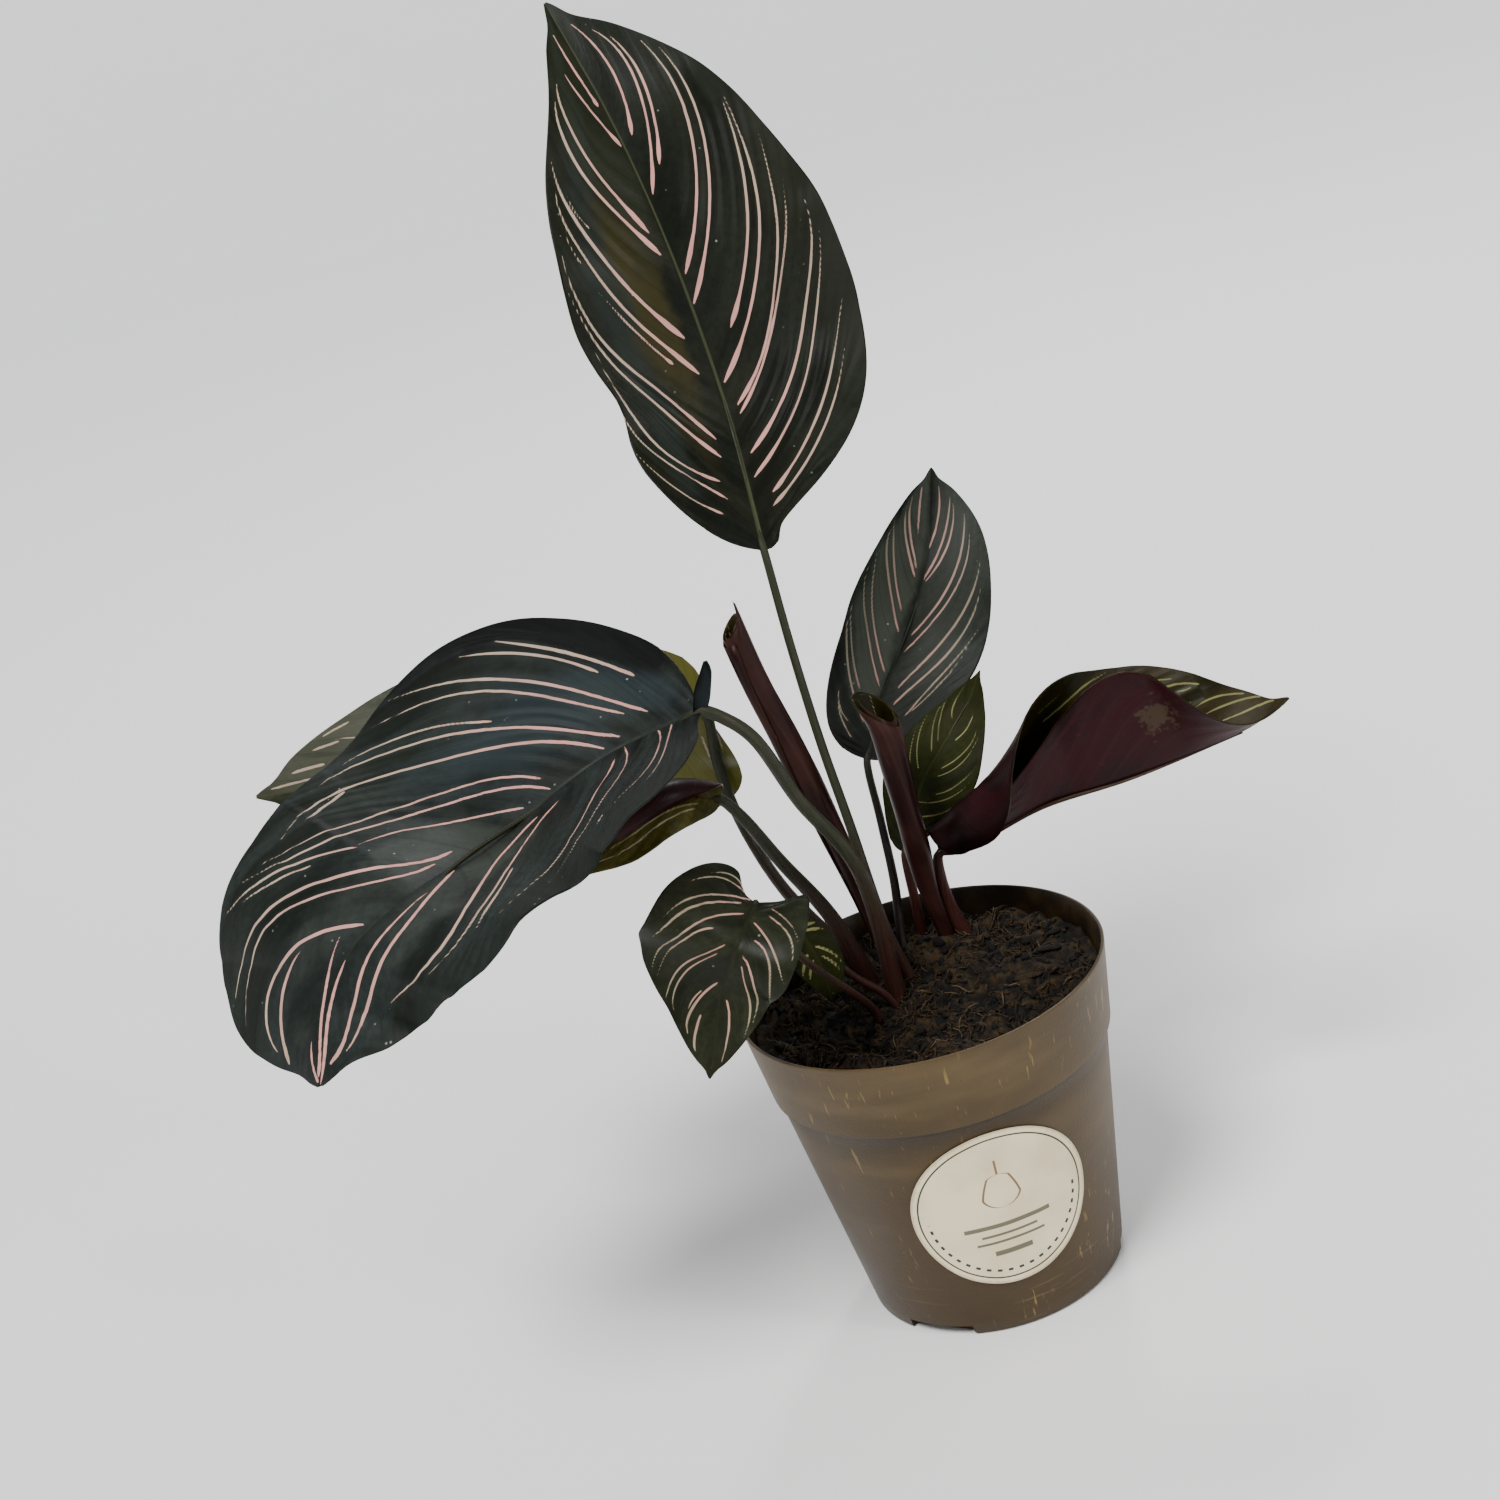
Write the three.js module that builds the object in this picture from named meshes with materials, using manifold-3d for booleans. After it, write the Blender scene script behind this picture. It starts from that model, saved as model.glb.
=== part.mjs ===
// A pinstripe calathea in a nursery pot. Millimetres, +Z up, the origin in the middle of the pot's
// flat underside. Azimuth 0 looks along +Y, so the front of the pot faces -Y.
import * as THREE from 'three';
import { mergeVertices } from 'three/addons/utils/BufferGeometryUtils.js';
import Module from 'manifold-3d';

const wasm = await Module();
wasm.setup();

// Pot: a tapered body with a wider collar above a small step.
const POT_HEIGHT = 110;
const POT_RIM_RADIUS = 60;
const POT_BASE_RADIUS = 42.5;
const POT_FLOOR = 2;
const POT_SIDES = 48;
const COLLAR_BOTTOM = 83;
const COLLAR_BOTTOM_RADIUS = 56.2;
const BODY_TOP_RADIUS = 54.8;
const WALL = 1.3;
const RIM_ROLL = 0.6;

// Three drainage notches cut into the lower edge.
const NOTCH_COUNT = 3;
const NOTCH_WIDTH = 23;
const NOTCH_HEIGHT = 3.8;
const NOTCH_DEPTH = 5;
const NOTCH_FIRST_ANGLE = -124;

// Potting mix: it fills the pot to a little below the rim, mounded round the stems.
const SOIL_LEVEL = 98.5;
const SOIL_BOTTOM = 2.4;
const SOIL_WALL_GAP = 0.7;
const SOIL_RELIEF = 1.6;
const SOIL_RINGS = 6;
const SOIL_SIDES = 32;
const HOLE_GAP = 0.5;
const HOLE_TOP = 108;

// Round sticker on the front of the pot.
const STICKER_RADIUS = 29.5;
const STICKER_HEIGHT = 48.5;
const STICKER_ANGLE = -83;
const STICKER_THICKNESS = 0.5;
const STICKER_GAP = 0.56;
const STICKER_RINGS = 5;
const STICKER_SIDES = 24;

// Leaves: the thickness of a blade, how deep the stems go in, and the sides of a stem.
const BLADE_THICKNESS = 0.8;
const OPEN_BLADE_THICKNESS = 0.95;
const STEM_FOOT = 88;
const STEM_SIDES = 7;
const BASE_ROUNDNESS = 0.5;
const TIP_SHARPNESS = 0.95;
const ROW_SWEEP = 1.15;
const WIDTH_STATIONS = [0, 0.1, 0.3, 0.5, 0.7, 0.9, 1];

// Each leaf has a stem (points and radii from the mix upwards), a midrib (from the stalk to the
// tip), the direction its upper face looks at stations along the midrib, and two halves. A half
// has a half-width, its relative width at a tenth, three, five, seven and nine tenths of the
// length, how far its basal lobe reaches back, where its widest point lies, and lift and curl:
// the angle at which it leaves the midrib and the angle through which it bends across its width.
// ease is the share of the length over which the cross-sections follow a bend of the midrib, and
// firstRow the place of the first cross row. open is true where the blade is nearly flat.
const LEAVES = [
  {
    name: 'leaf_tall',
    stalkRunsOn: true,
    ease: 0.03,
    firstRow: 0.03,
    open: true,
    colour: 0x2a2e22,
    stem: [[-3, 17, 96], [-7, 19, 119], [-9, 23, 156], [-11, 28, 185], [-12, 34, 218], [-12, 39, 248]],
    stemRadii: [2.4, 2.0, 1.6, 1.5, 1.4, 1.3],
    midrib: [[-12, 39, 248], [-12, 75, 290], [-16, 83, 342], [-23, 98, 383], [-34, 121, 422]],
    facing: [[0, 0.25, -0.8, 0.5], [1, 0.15, -0.8, 0.6]],
    left: {
      width: 43, fullness: [1.17, 0.93, 0.98, 0.91, 0.73], lobe: 0, peak: 0.86,
      lift: [[0, 23], [0.5, 19], [0.85, 19]], curl: [[0, -10], [1, -10]],
    },
    right: {
      width: 50, fullness: [0.32, 1.09, 1.06, 1.05, 1.14], lobe: 0.06, peak: 0.9,
      lift: [[0, -8], [0.5, 7], [0.85, 10]], curl: [[0, -8], [1, -8]],
    },
    wave: [1.6, 4],
    rows: 20,
    columns: 5,
  },
  {
    name: 'leaf_left',
    stalkRunsOn: true,
    ease: 0.08,
    firstRow: 0.05,
    open: true,
    colour: 0x2a2e27,
    stem: [[-9, 9, 96], [-10, 5, 148], [-22, -2, 179], [-30, -8, 205], [-36, -9, 213], [-43, -9, 218]],
    stemRadii: [3.2, 2.5, 2.2, 2.1, 2.0, 1.9],
    midrib: [[-43, -9, 218], [-76, -4, 210], [-116, -20, 198], [-142, -47, 198], [-158, -54, 191],
      [-170, -57, 176], [-174, -80, 163]],
    facing: [[0, -0.2, -0.5, 0.85], [0.6, -0.3, -0.6, 0.75], [1, -0.7, -0.7, 0.3]],
    left: {
      width: 71, fullness: [0.91, 0.99, 0.77, 0.8, 1.04], lobe: 0.14, peak: 1,
      lift: [[0, 34], [0.35, 31], [0.6, 19], [0.8, -2], [1, -37]], curl: [[0, -5], [1, -10]],
    },
    right: {
      width: 80, fullness: [0.97, 1.1, 0.81, 0.92, 1.3], lobe: 0.03, peak: 1,
      lift: [[0, 6], [0.35, 6], [0.6, 7], [0.8, -3], [1, 4]], curl: [[0, -8], [1, -8]],
    },
    wave: [1.8, 4],
    rows: 20,
    columns: 5,
  },
  {
    name: 'leaf_back',
    stalkRunsOn: true,
    ease: 0.03,
    firstRow: 0.09,
    open: true,
    colour: 0x3f412e,
    stem: [[-15, 26, 96], [-21, 28, 109], [-36, 38, 134], [-44, 47, 158], [-46, 49, 179], [-45, 45, 199]],
    stemRadii: [2.8, 2.5, 2.1, 1.9, 1.8, 1.7],
    midrib: [[-45, 45, 199], [-82, 62, 195], [-134, 68, 197], [-168, 68, 200], [-198, 60, 207]],
    facing: [[0, 0, -0.6, 0.8], [1, 0, -0.6, 0.8]],
    left: {
      width: 42, fullness: [1.05, 1, 0.95, 0.95, 0.85], lobe: 0.12, peak: 0.8,
      lift: [[0, -75], [0.2, -60], [0.5, -25], [1, 0]], curl: [[0, 10], [1, -10]],
    },
    right: {
      width: 43, fullness: [0.9, 0.96, 1, 1, 1.13], lobe: 0.024, peak: 0.85,
      lift: [[0, 4], [0.5, 6], [1, 8]], curl: [[0, -8], [1, -8]],
    },
    wave: [1.4, 3],
    rows: 16,
    columns: 4,
  },
  {
    name: 'leaf_low',
    stalkRunsOn: true,
    ease: 0.03,
    firstRow: 0.01,
    open: false,
    colour: 0x2c211c,
    stem: [[-15, 17, 96], [-23, 18, 129], [-34, 20, 152], [-42, 21, 170], [-47, 22, 177]],
    stemRadii: [3.4, 2.6, 2.2, 2.0, 1.8],
    midrib: [[-47, 22, 177], [-56, 19, 182], [-66, 13, 185], [-83, 13, 179], [-101, 8, 175],
      [-115, 4, 171]],
    facing: [[0, 0, -0.6, 0.8], [1, 0, -0.6, 0.8]],
    left: {
      width: 13, fullness: [1, 1.06, 1, 0.85, 0.77], lobe: 0.03, peak: 0.95,
      lift: [[0, -12], [1, 6]], curl: [[0, -5], [1, -10]],
    },
    right: {
      width: 22, fullness: [1, 1, 1, 1, 1], lobe: 0, peak: 0.85,
      lift: [[0, 45], [1, 30]], curl: [[0, 225], [0.6, 200], [1, 90]],
    },
    wave: [0, 3],
    rows: 14,
    columns: 5,
  },
  {
    name: 'leaf_mid',
    stalkRunsOn: true,
    ease: 0.03,
    firstRow: 0.03,
    open: true,
    colour: 0x33382f,
    stem: [[-2, 33, 96], [-3, 36, 101], [0, 47, 123], [1, 57, 141], [2, 66, 160]],
    stemRadii: [1.9, 1.7, 1.5, 1.4, 1.3],
    midrib: [[2, 66, 160], [14, 76, 179], [27, 85, 194], [40, 92, 215], [50, 112, 240]],
    facing: [[0, -0.1, -0.8, 0.5], [1, -0.1, -0.8, 0.6]],
    left: {
      width: 23, fullness: [0.99, 0.93, 0.96, 0.99, 1.07], lobe: 0.05, peak: 0.85,
      lift: [[0, 20], [0.5, 16], [0.85, 13]], curl: [[0, -10], [1, -10]],
    },
    right: {
      width: 28, fullness: [1.01, 1.05, 1, 0.96, 1.03], lobe: 0.03, peak: 0.9,
      lift: [[0, 20], [0.5, 14], [0.85, 11]], curl: [[0, -8], [1, -8]],
    },
    wave: [0.6, 3],
    rows: 16,
    columns: 4,
  },
  {
    name: 'leaf_small',
    stalkRunsOn: true,
    ease: 0.03,
    firstRow: 0.05,
    open: true,
    colour: 0x343a1e,
    stem: [[4, 43, 96], [5, 45, 114], [6, 48, 131]],
    stemRadii: [2.0, 1.7, 1.4],
    midrib: [[6, 48, 131], [12, 51, 142], [17, 50, 152], [27, 51, 163], [38, 56, 172], [46, 58, 183]],
    facing: [[0, -0.1, -0.8, 0.5], [1, -0.1, -0.8, 0.6]],
    left: {
      width: 13, fullness: [0.93, 1.05, 1, 0.97, 1.03], lobe: 0, peak: 0.85,
      lift: [[0, 5], [1, 5]], curl: [[0, -10], [1, -10]],
    },
    right: {
      width: 14.5, fullness: [0.68, 1.02, 1.19, 1.06, 0.87], lobe: 0, peak: 0.8,
      lift: [[0, 11], [1, 9]], curl: [[0, -8], [1, -8]],
    },
    wave: [0.3, 3],
    rows: 14,
    columns: 3,
  },
  {
    name: 'leaf_right',
    stalkRunsOn: true,
    ease: 0.03,
    firstRow: 0.03,
    open: false,
    colour: 0x3a1c1e,
    stem: [[19, 40, 96], [16, 40, 108], [15, 40, 121], [17, 40, 131]],
    stemRadii: [3.0, 2.8, 2.2, 1.6],
    midrib: [[17, 40, 131], [39, 36, 136], [56, 34, 141], [73, 32, 142], [90, 30, 144], [107, 28, 147],
      [124, 26, 151], [138, 24, 158]],
    facing: [[0, -0.2, 0, 0.95], [1, -0.2, 0, 0.95]],
    left: {
      width: 46, fullness: [1.35, 1.05, 0.84, 0.89, 0.95], lobe: 0, peak: 0.85,
      lift: [[0, 40], [0.25, 35], [0.5, 60], [0.8, 58], [0.92, 40], [1, 20]],
      curl: [[0, 480], [0.1, 310], [0.25, 225], [0.36, 120], [0.5, 25], [0.6, 0], [1, 0]],
    },
    right: {
      width: 40, fullness: [0.5, 0.54, 0.98, 1.2, 0.7], lobe: 0, peak: 0.88,
      lift: [[0, 25], [0.2, 45], [0.4, 68], [0.7, 68], [0.9, 25], [1, 0]],
      curl: [[0, 20], [0.4, 15], [1, 0]],
    },
    wave: [0, 3],
    rows: 22,
    columns: 8,
  },
  {
    name: 'leaf_front',
    stalkRunsOn: false,
    ease: 0.03,
    firstRow: 0.09,
    open: true,
    colour: 0x3a3d31,
    stem: [[-16, -6, 96], [-17, -7, 104], [-20, -12, 112], [-34, -27, 139], [-42, -38, 165]],
    stemRadii: [1.7, 1.5, 1.3, 1.2, 1.1],
    midrib: [[-42, -38, 165], [-50, -52, 158], [-59, -48, 143], [-69, -56, 121]],
    facing: [[0, -0.1, -0.8, 0.5], [1, -0.1, -0.8, 0.3]],
    left: {
      width: 18.5, fullness: [1.05, 1.02, 0.87, 0.95, 1.02], lobe: 0.21, peak: 0.72,
      lift: [[0, 15], [0.5, 2], [0.85, 5]], curl: [[0, -10], [1, -10]],
    },
    right: {
      width: 24, fullness: [0.5, 1.15, 1.15, 0.86, 0.88], lobe: 0.27, peak: 0.72,
      lift: [[0, 33], [0.5, 14], [0.85, 8]], curl: [[0, -8], [1, -8]],
    },
    wave: [0.4, 3],
    rows: 16,
    columns: 4,
  },
  {
    name: 'leaf_hidden',
    stalkRunsOn: false,
    ease: 0.03,
    firstRow: 0.03,
    open: true,
    colour: 0x3c3d28,
    stem: [[-9, 1, 96], [-13, 0, 106], [-20, -2, 115], [-28, -5, 129], [-34, -7, 141]],
    stemRadii: [1.4, 1.3, 1.2, 1.1, 1.0],
    midrib: [[-34, -7, 141], [-31, -10, 134], [-29, -11, 124], [-29, -11, 113]],
    facing: [[0, -0.1, -0.8, 0.5], [1, -0.1, -0.8, 0.3]],
    left: {
      width: 8, fullness: [1, 1, 1, 1, 1], lobe: 0.02, peak: 0.8,
      lift: [[0, 5], [1, 5]], curl: [[0, -10], [1, -10]],
    },
    right: {
      width: 8, fullness: [1, 1, 1, 1, 1], lobe: 0.02, peak: 0.8,
      lift: [[0, 10], [1, 8]], curl: [[0, -8], [1, -8]],
    },
    wave: [0.2, 3],
    rows: 10,
    columns: 2,
  },
];

// Two young leaves still rolled up, each a stem that widens into a slender roll.
const ROLLED_LEAVES = [
  {
    name: 'rolled_leaf_tall',
    colour: 0x3c2a27,
    line: [[-7, 26, 96], [-11, 29, 126], [-16, 32, 156], [-19, 32, 173], [-22, 32, 190], [-26, 31, 210],
      [-28, 31, 226], [-24, 31, 236]],
    radii: [3.0, 3.4, 4.3, 4.6, 4.3, 3.9, 3.0, 0.5],
  },
  {
    name: 'rolled_leaf_short',
    colour: 0x3a211c,
    line: [[11, 37, 96], [12, 37, 99], [10, 36, 121], [10, 35, 147], [10, 34, 169], [10, 33, 184],
      [7, 33, 194]],
    radii: [2.6, 3.0, 4.4, 4.3, 5.0, 5.6, 1.0],
  },
];
const ROLL_SIDES = 10;

const toVector = ([x, y, z]) => new THREE.Vector3(x, y, z);
const radians = THREE.MathUtils.degToRad;

// Value at x on straight lines through [x, value] stations.
function ramp(x, stations) {
  for (let i = 1; i < stations.length; i += 1) {
    const [x0, y0] = stations[i - 1];
    const [x1, y1] = stations[i];
    if (x <= x1) {
      return y0 + (y1 - y0) * THREE.MathUtils.clamp((x - x0) / (x1 - x0), 0, 1);
    }
  }
  return stations[stations.length - 1][1];
}

// Smooth curve through values at WIDTH_STATIONS, the first and last held to the ends.
function fullnessAt(m, fullness) {
  const xs = WIDTH_STATIONS;
  const ys = [fullness[0], ...fullness, fullness[4]];
  const slope = (i) => {
    const lo = Math.max(i - 1, 0);
    const hi = Math.min(i + 1, xs.length - 1);
    return (ys[hi] - ys[lo]) / (xs[hi] - xs[lo]);
  };
  let i = 0;
  while (i < xs.length - 2 && m > xs[i + 1]) {
    i += 1;
  }
  const h = xs[i + 1] - xs[i];
  const t = (m - xs[i]) / h;
  const start = (2 * t ** 3 - 3 * t ** 2 + 1) * ys[i] + (t ** 3 - 2 * t ** 2 + t) * h * slope(i);
  const end = (-2 * t ** 3 + 3 * t ** 2) * ys[i + 1] + (t ** 3 - t ** 2) * h * slope(i + 1);
  return start + end;
}

// Midrib of a leaf: a curve with its length and a frame at each distance along it.
class Midrib {
  constructor(points, facing, ease) {
    this.curve = new THREE.CatmullRomCurve3(points.map(toVector), false, 'centripetal');
    this.length = this.curve.getLength();
    this.facing = facing;
    this.ease = ease;
  }

  // The direction of the midrib, averaged over a stretch so that the cross-sections never cross.
  direction(u) {
    const sum = new THREE.Vector3();
    for (let k = -4; k <= 4; k += 1) {
      const weight = Math.exp(-0.5 * (k / 2) ** 2);
      sum.addScaledVector(this.curve.getTangentAt(THREE.MathUtils.clamp(u + this.ease * k, 0, 1)), weight);
    }
    return sum.normalize();
  }

  frame(x) {
    const u = THREE.MathUtils.clamp(x / this.length, 0, 1);
    const along = this.direction(u);
    const face = new THREE.Vector3(
      ramp(u, this.facing.map((s) => [s[0], s[1]])),
      ramp(u, this.facing.map((s) => [s[0], s[2]])),
      ramp(u, this.facing.map((s) => [s[0], s[3]])),
    );
    const side = new THREE.Vector3().crossVectors(along, face).normalize();
    const up = new THREE.Vector3().crossVectors(side, along);
    const point = this.curve.getPointAt(u).addScaledVector(along, x - u * this.length);
    return { point, along, side, up };
  }
}

// Outline of a half laid flat: distance along the midrib and away from it.
function marginPoint(half, length, m) {
  const profile = Math.sin(Math.PI * Math.min(m, 1) ** half.peak) ** (
    BASE_ROUNDNESS + (TIP_SHARPNESS - BASE_ROUNDNESS) * m);
  const back = half.lobe * Math.sin(Math.PI * Math.min(m / 0.35, 1));
  return {
    x: length * (m - back),
    y: m >= 1 ? 0 : half.width * profile * fullnessAt(m, half.fullness),
  };
}

// Point of the flat blade on cross row p (its place along the margin) at q (0 midrib, 1 margin).
// The first row starts at the stalk, and the others run from the midrib slightly forward.
function flatPoint(half, length, firstRow, p, q) {
  const end = marginPoint(half, length, p);
  const first = firstRow ** ROW_SWEEP;
  const start = (length * (p ** ROW_SWEEP - first)) / (1 - first);
  return { x: start + (end.x - start) * q, y: end.y * q };
}

// Point and normal of the blade in space. sign is -1 on the left half and 1 on the right.
function bladePoint(leaf, rib, sign, p, q) {
  const half = sign < 0 ? leaf.left : leaf.right;
  const flat = flatPoint(half, rib.length, leaf.firstRow, p, q);
  const u = THREE.MathUtils.clamp(flat.x / rib.length, 0, 1);
  const lift = radians(ramp(u, half.lift));
  let bend = radians(ramp(u, half.curl)) / half.width;
  if (Math.abs(bend) < 1e-6) {
    bend = 1e-6;
  }
  const angle = lift + bend * flat.y;
  const out = (Math.sin(angle) - Math.sin(lift)) / bend;
  const rise = (Math.cos(lift) - Math.cos(angle)) / bend;
  const { point, side, up } = rib.frame(flat.x);
  point.addScaledVector(side, sign * out).addScaledVector(up, rise);
  if (p >= 1 || q === 0) {
    return { point, normal: up };
  }
  const normal = new THREE.Vector3();
  normal.addScaledVector(side, -sign * Math.sin(angle)).addScaledVector(up, Math.cos(angle));
  const phase = 2 * Math.PI * leaf.wave[1] * p + (sign < 0 ? 0 : 1.3);
  point.addScaledVector(normal, leaf.wave[0] * Math.sin(phase) * q * q * Math.sqrt(Math.sin(Math.PI * p)));
  return { point, normal };
}

// A closed sheet from a grid of { point, normal }: both faces use the same split into triangles.
function sheetGeometry(grid, thickness) {
  const rows = grid.length;
  const columns = grid[0].length;
  const positions = [];
  for (const offset of [thickness / 2, -thickness / 2]) {
    for (const row of grid) {
      for (const { point, normal } of row) {
        positions.push(...point.clone().addScaledVector(normal, offset).toArray());
      }
    }
  }
  const top = (i, j) => i * columns + j;
  const bottom = (i, j) => rows * columns + i * columns + j;
  const index = [];
  for (let i = 0; i < rows - 1; i += 1) {
    for (let j = 0; j < columns - 1; j += 1) {
      index.push(top(i, j), top(i, j + 1), top(i + 1, j + 1));
      index.push(top(i, j), top(i + 1, j + 1), top(i + 1, j));
      index.push(bottom(i, j), bottom(i + 1, j + 1), bottom(i, j + 1));
      index.push(bottom(i, j), bottom(i + 1, j), bottom(i + 1, j + 1));
    }
    const last = columns - 1;
    index.push(top(i, 0), top(i + 1, 0), bottom(i + 1, 0));
    index.push(top(i, 0), bottom(i + 1, 0), bottom(i, 0));
    index.push(top(i, last), bottom(i + 1, last), top(i + 1, last));
    index.push(top(i, last), bottom(i, last), bottom(i + 1, last));
  }
  for (let j = 0; j < columns - 1; j += 1) {
    const end = rows - 1;
    index.push(top(0, j), bottom(0, j + 1), top(0, j + 1));
    index.push(top(0, j), bottom(0, j), bottom(0, j + 1));
    index.push(top(end, j), top(end, j + 1), bottom(end, j + 1));
    index.push(top(end, j), bottom(end, j + 1), bottom(end, j));
  }
  const geometry = new THREE.BufferGeometry();
  geometry.setAttribute('position', new THREE.Float32BufferAttribute(positions, 3));
  geometry.setIndex(index);
  return geometry;
}

const stemCurve = (points) => new THREE.CatmullRomCurve3(points.map(toVector), false, 'centripetal');

// Frames that turn as little as possible from one step of a curve to the next.
function stemFrames(curve, steps, portion) {
  const normals = [];
  const binormals = [];
  let normal = new THREE.Vector3(1, 0, 0);
  for (let step = 0; step <= steps; step += 1) {
    const along = curve.getTangentAt((portion * step) / steps);
    const binormal = new THREE.Vector3().crossVectors(along, normal).normalize();
    normal = new THREE.Vector3().crossVectors(binormal, along).normalize();
    normals.push(normal);
    binormals.push(binormal);
  }
  return { normals, binormals };
}

// A closed tube along a curve, or its first portion, whose radius follows the given radii.
function tubeGeometry(points, radii, steps, sides, grow = 0, portion = 1) {
  const curve = stemCurve(points);
  const geometry = new THREE.CylinderGeometry(1, 1, 1, sides, steps);
  const frames = stemFrames(curve, steps, portion);
  const position = geometry.getAttribute('position');
  const vertex = new THREE.Vector3();
  for (let i = 0; i < position.count; i += 1) {
    vertex.fromBufferAttribute(position, i);
    const step = Math.round((vertex.y + 0.5) * steps);
    const u = (portion * step) / steps;
    const radius = ramp(u, radii.map((r, k) => [k / (radii.length - 1), r])) + grow;
    const centre = curve.getPointAt(u);
    centre.addScaledVector(frames.normals[step], vertex.z * radius);
    centre.addScaledVector(frames.binormals[step], vertex.x * radius);
    position.setXYZ(i, centre.x, centre.y, centre.z);
  }
  return geometry;
}

// A solid for joining and cutting: vertices merged, flat triangles dropped, faces pointing out.
function toSolid(source) {
  const bare = source.clone();
  bare.deleteAttribute('normal');
  bare.deleteAttribute('uv');
  const merged = mergeVertices(bare, 1e-4);
  const vertices = merged.getAttribute('position').array;
  const index = merged.getIndex().array;
  const triangles = [];
  let volume = 0;
  const [a, b, c] = [new THREE.Vector3(), new THREE.Vector3(), new THREE.Vector3()];
  for (let i = 0; i < index.length; i += 3) {
    const [ia, ib, ic] = [index[i], index[i + 1], index[i + 2]];
    if (ia !== ib && ib !== ic && ic !== ia) {
      triangles.push(ia, ib, ic);
      a.fromArray(vertices, 3 * ia);
      b.fromArray(vertices, 3 * ib);
      c.fromArray(vertices, 3 * ic);
      volume += a.dot(b.cross(c)) / 6;
    }
  }
  if (volume < 0) {
    for (let i = 0; i < triangles.length; i += 3) {
      [triangles[i + 1], triangles[i + 2]] = [triangles[i + 2], triangles[i + 1]];
    }
  }
  return new wasm.Manifold(new wasm.Mesh({
    numProp: 3,
    vertProperties: new Float32Array(vertices),
    triVerts: new Uint32Array(triangles),
  }));
}

function toGeometry(solid) {
  const mesh = solid.getMesh();
  const geometry = new THREE.BufferGeometry();
  geometry.setAttribute('position', new THREE.BufferAttribute(new Float32Array(mesh.vertProperties), 3));
  geometry.setIndex(new THREE.BufferAttribute(new Uint32Array(mesh.triVerts), 1));
  geometry.computeVertexNormals();
  return geometry;
}

function makeMesh(name, solid, colour, roughness) {
  const material = new THREE.MeshStandardMaterial({ color: colour, roughness, metalness: 0 });
  const mesh = new THREE.Mesh(toGeometry(solid), material);
  mesh.name = name;
  return mesh;
}

// Stem from inside the mix: the first given point lies at the surface, and a foot is added below.
function stemPoints(points) {
  const [x, y] = points[0];
  return [[x, y, STEM_FOOT], ...points];
}

// Hole for a stem: a wider tube along the same curve, from below its foot to above the mix.
function stemHole(points, radii) {
  const [x, y] = points[0];
  const path = [[x, y, STEM_FOOT - HOLE_GAP], ...points];
  const portion = (HOLE_TOP - STEM_FOOT) / stemCurve(path).getLength();
  const grow = HOLE_GAP + radii[0] * (1 / Math.cos(Math.PI / STEM_SIDES) - 1);
  return toSolid(tubeGeometry(path, [radii[0], ...radii], 3, STEM_SIDES, grow, portion));
}

function makeLeaf(leaf) {
  const rib = new Midrib(leaf.midrib, leaf.facing, leaf.ease);
  const grid = [];
  for (let i = 0; i <= leaf.rows; i += 1) {
    // Rows crowd a little towards the base and the tip, where the outline turns fastest.
    const t = i / leaf.rows;
    const even = t - 0.06 * Math.sin(2 * Math.PI * t);
    const p = leaf.firstRow + (1 - leaf.firstRow) * even;
    const row = [];
    for (let j = -leaf.columns; j <= leaf.columns; j += 1) {
      row.push(bladePoint(leaf, rib, j < 0 ? -1 : 1, p, Math.abs(j) / leaf.columns));
    }
    grid.push(row);
  }
  if (leaf.open) {
    // An open blade gets its thickness along one direction, so that its two faces never cross.
    const mean = new THREE.Vector3();
    grid.flat().forEach(({ normal }) => mean.add(normal));
    mean.normalize();
    grid.flat().forEach((entry) => { entry.normal = mean; });
  }
  const blade = toSolid(sheetGeometry(grid, leaf.open ? OPEN_BLADE_THICKNESS : BLADE_THICKNESS));
  // The stalk runs on under the blade for a short way, thinning out.
  const inside = rib.frame(0.05 * rib.length).point.toArray();
  const points = stemPoints(leaf.stem);
  const radii = [leaf.stemRadii[0], ...leaf.stemRadii];
  if (leaf.stalkRunsOn) {
    points.push(inside);
    radii.push(0.6);
  }
  const stem = toSolid(tubeGeometry(points, radii, 2 * points.length, STEM_SIDES));
  return makeMesh(leaf.name, blade.add(stem), leaf.colour, 0.42);
}

function makeRolledLeaf(leaf) {
  const points = stemPoints(leaf.line);
  const radii = [leaf.radii[0], ...leaf.radii];
  const solid = toSolid(tubeGeometry(points, radii, 2 * points.length, ROLL_SIDES));
  return makeMesh(leaf.name, solid, leaf.colour, 0.45);
}

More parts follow.
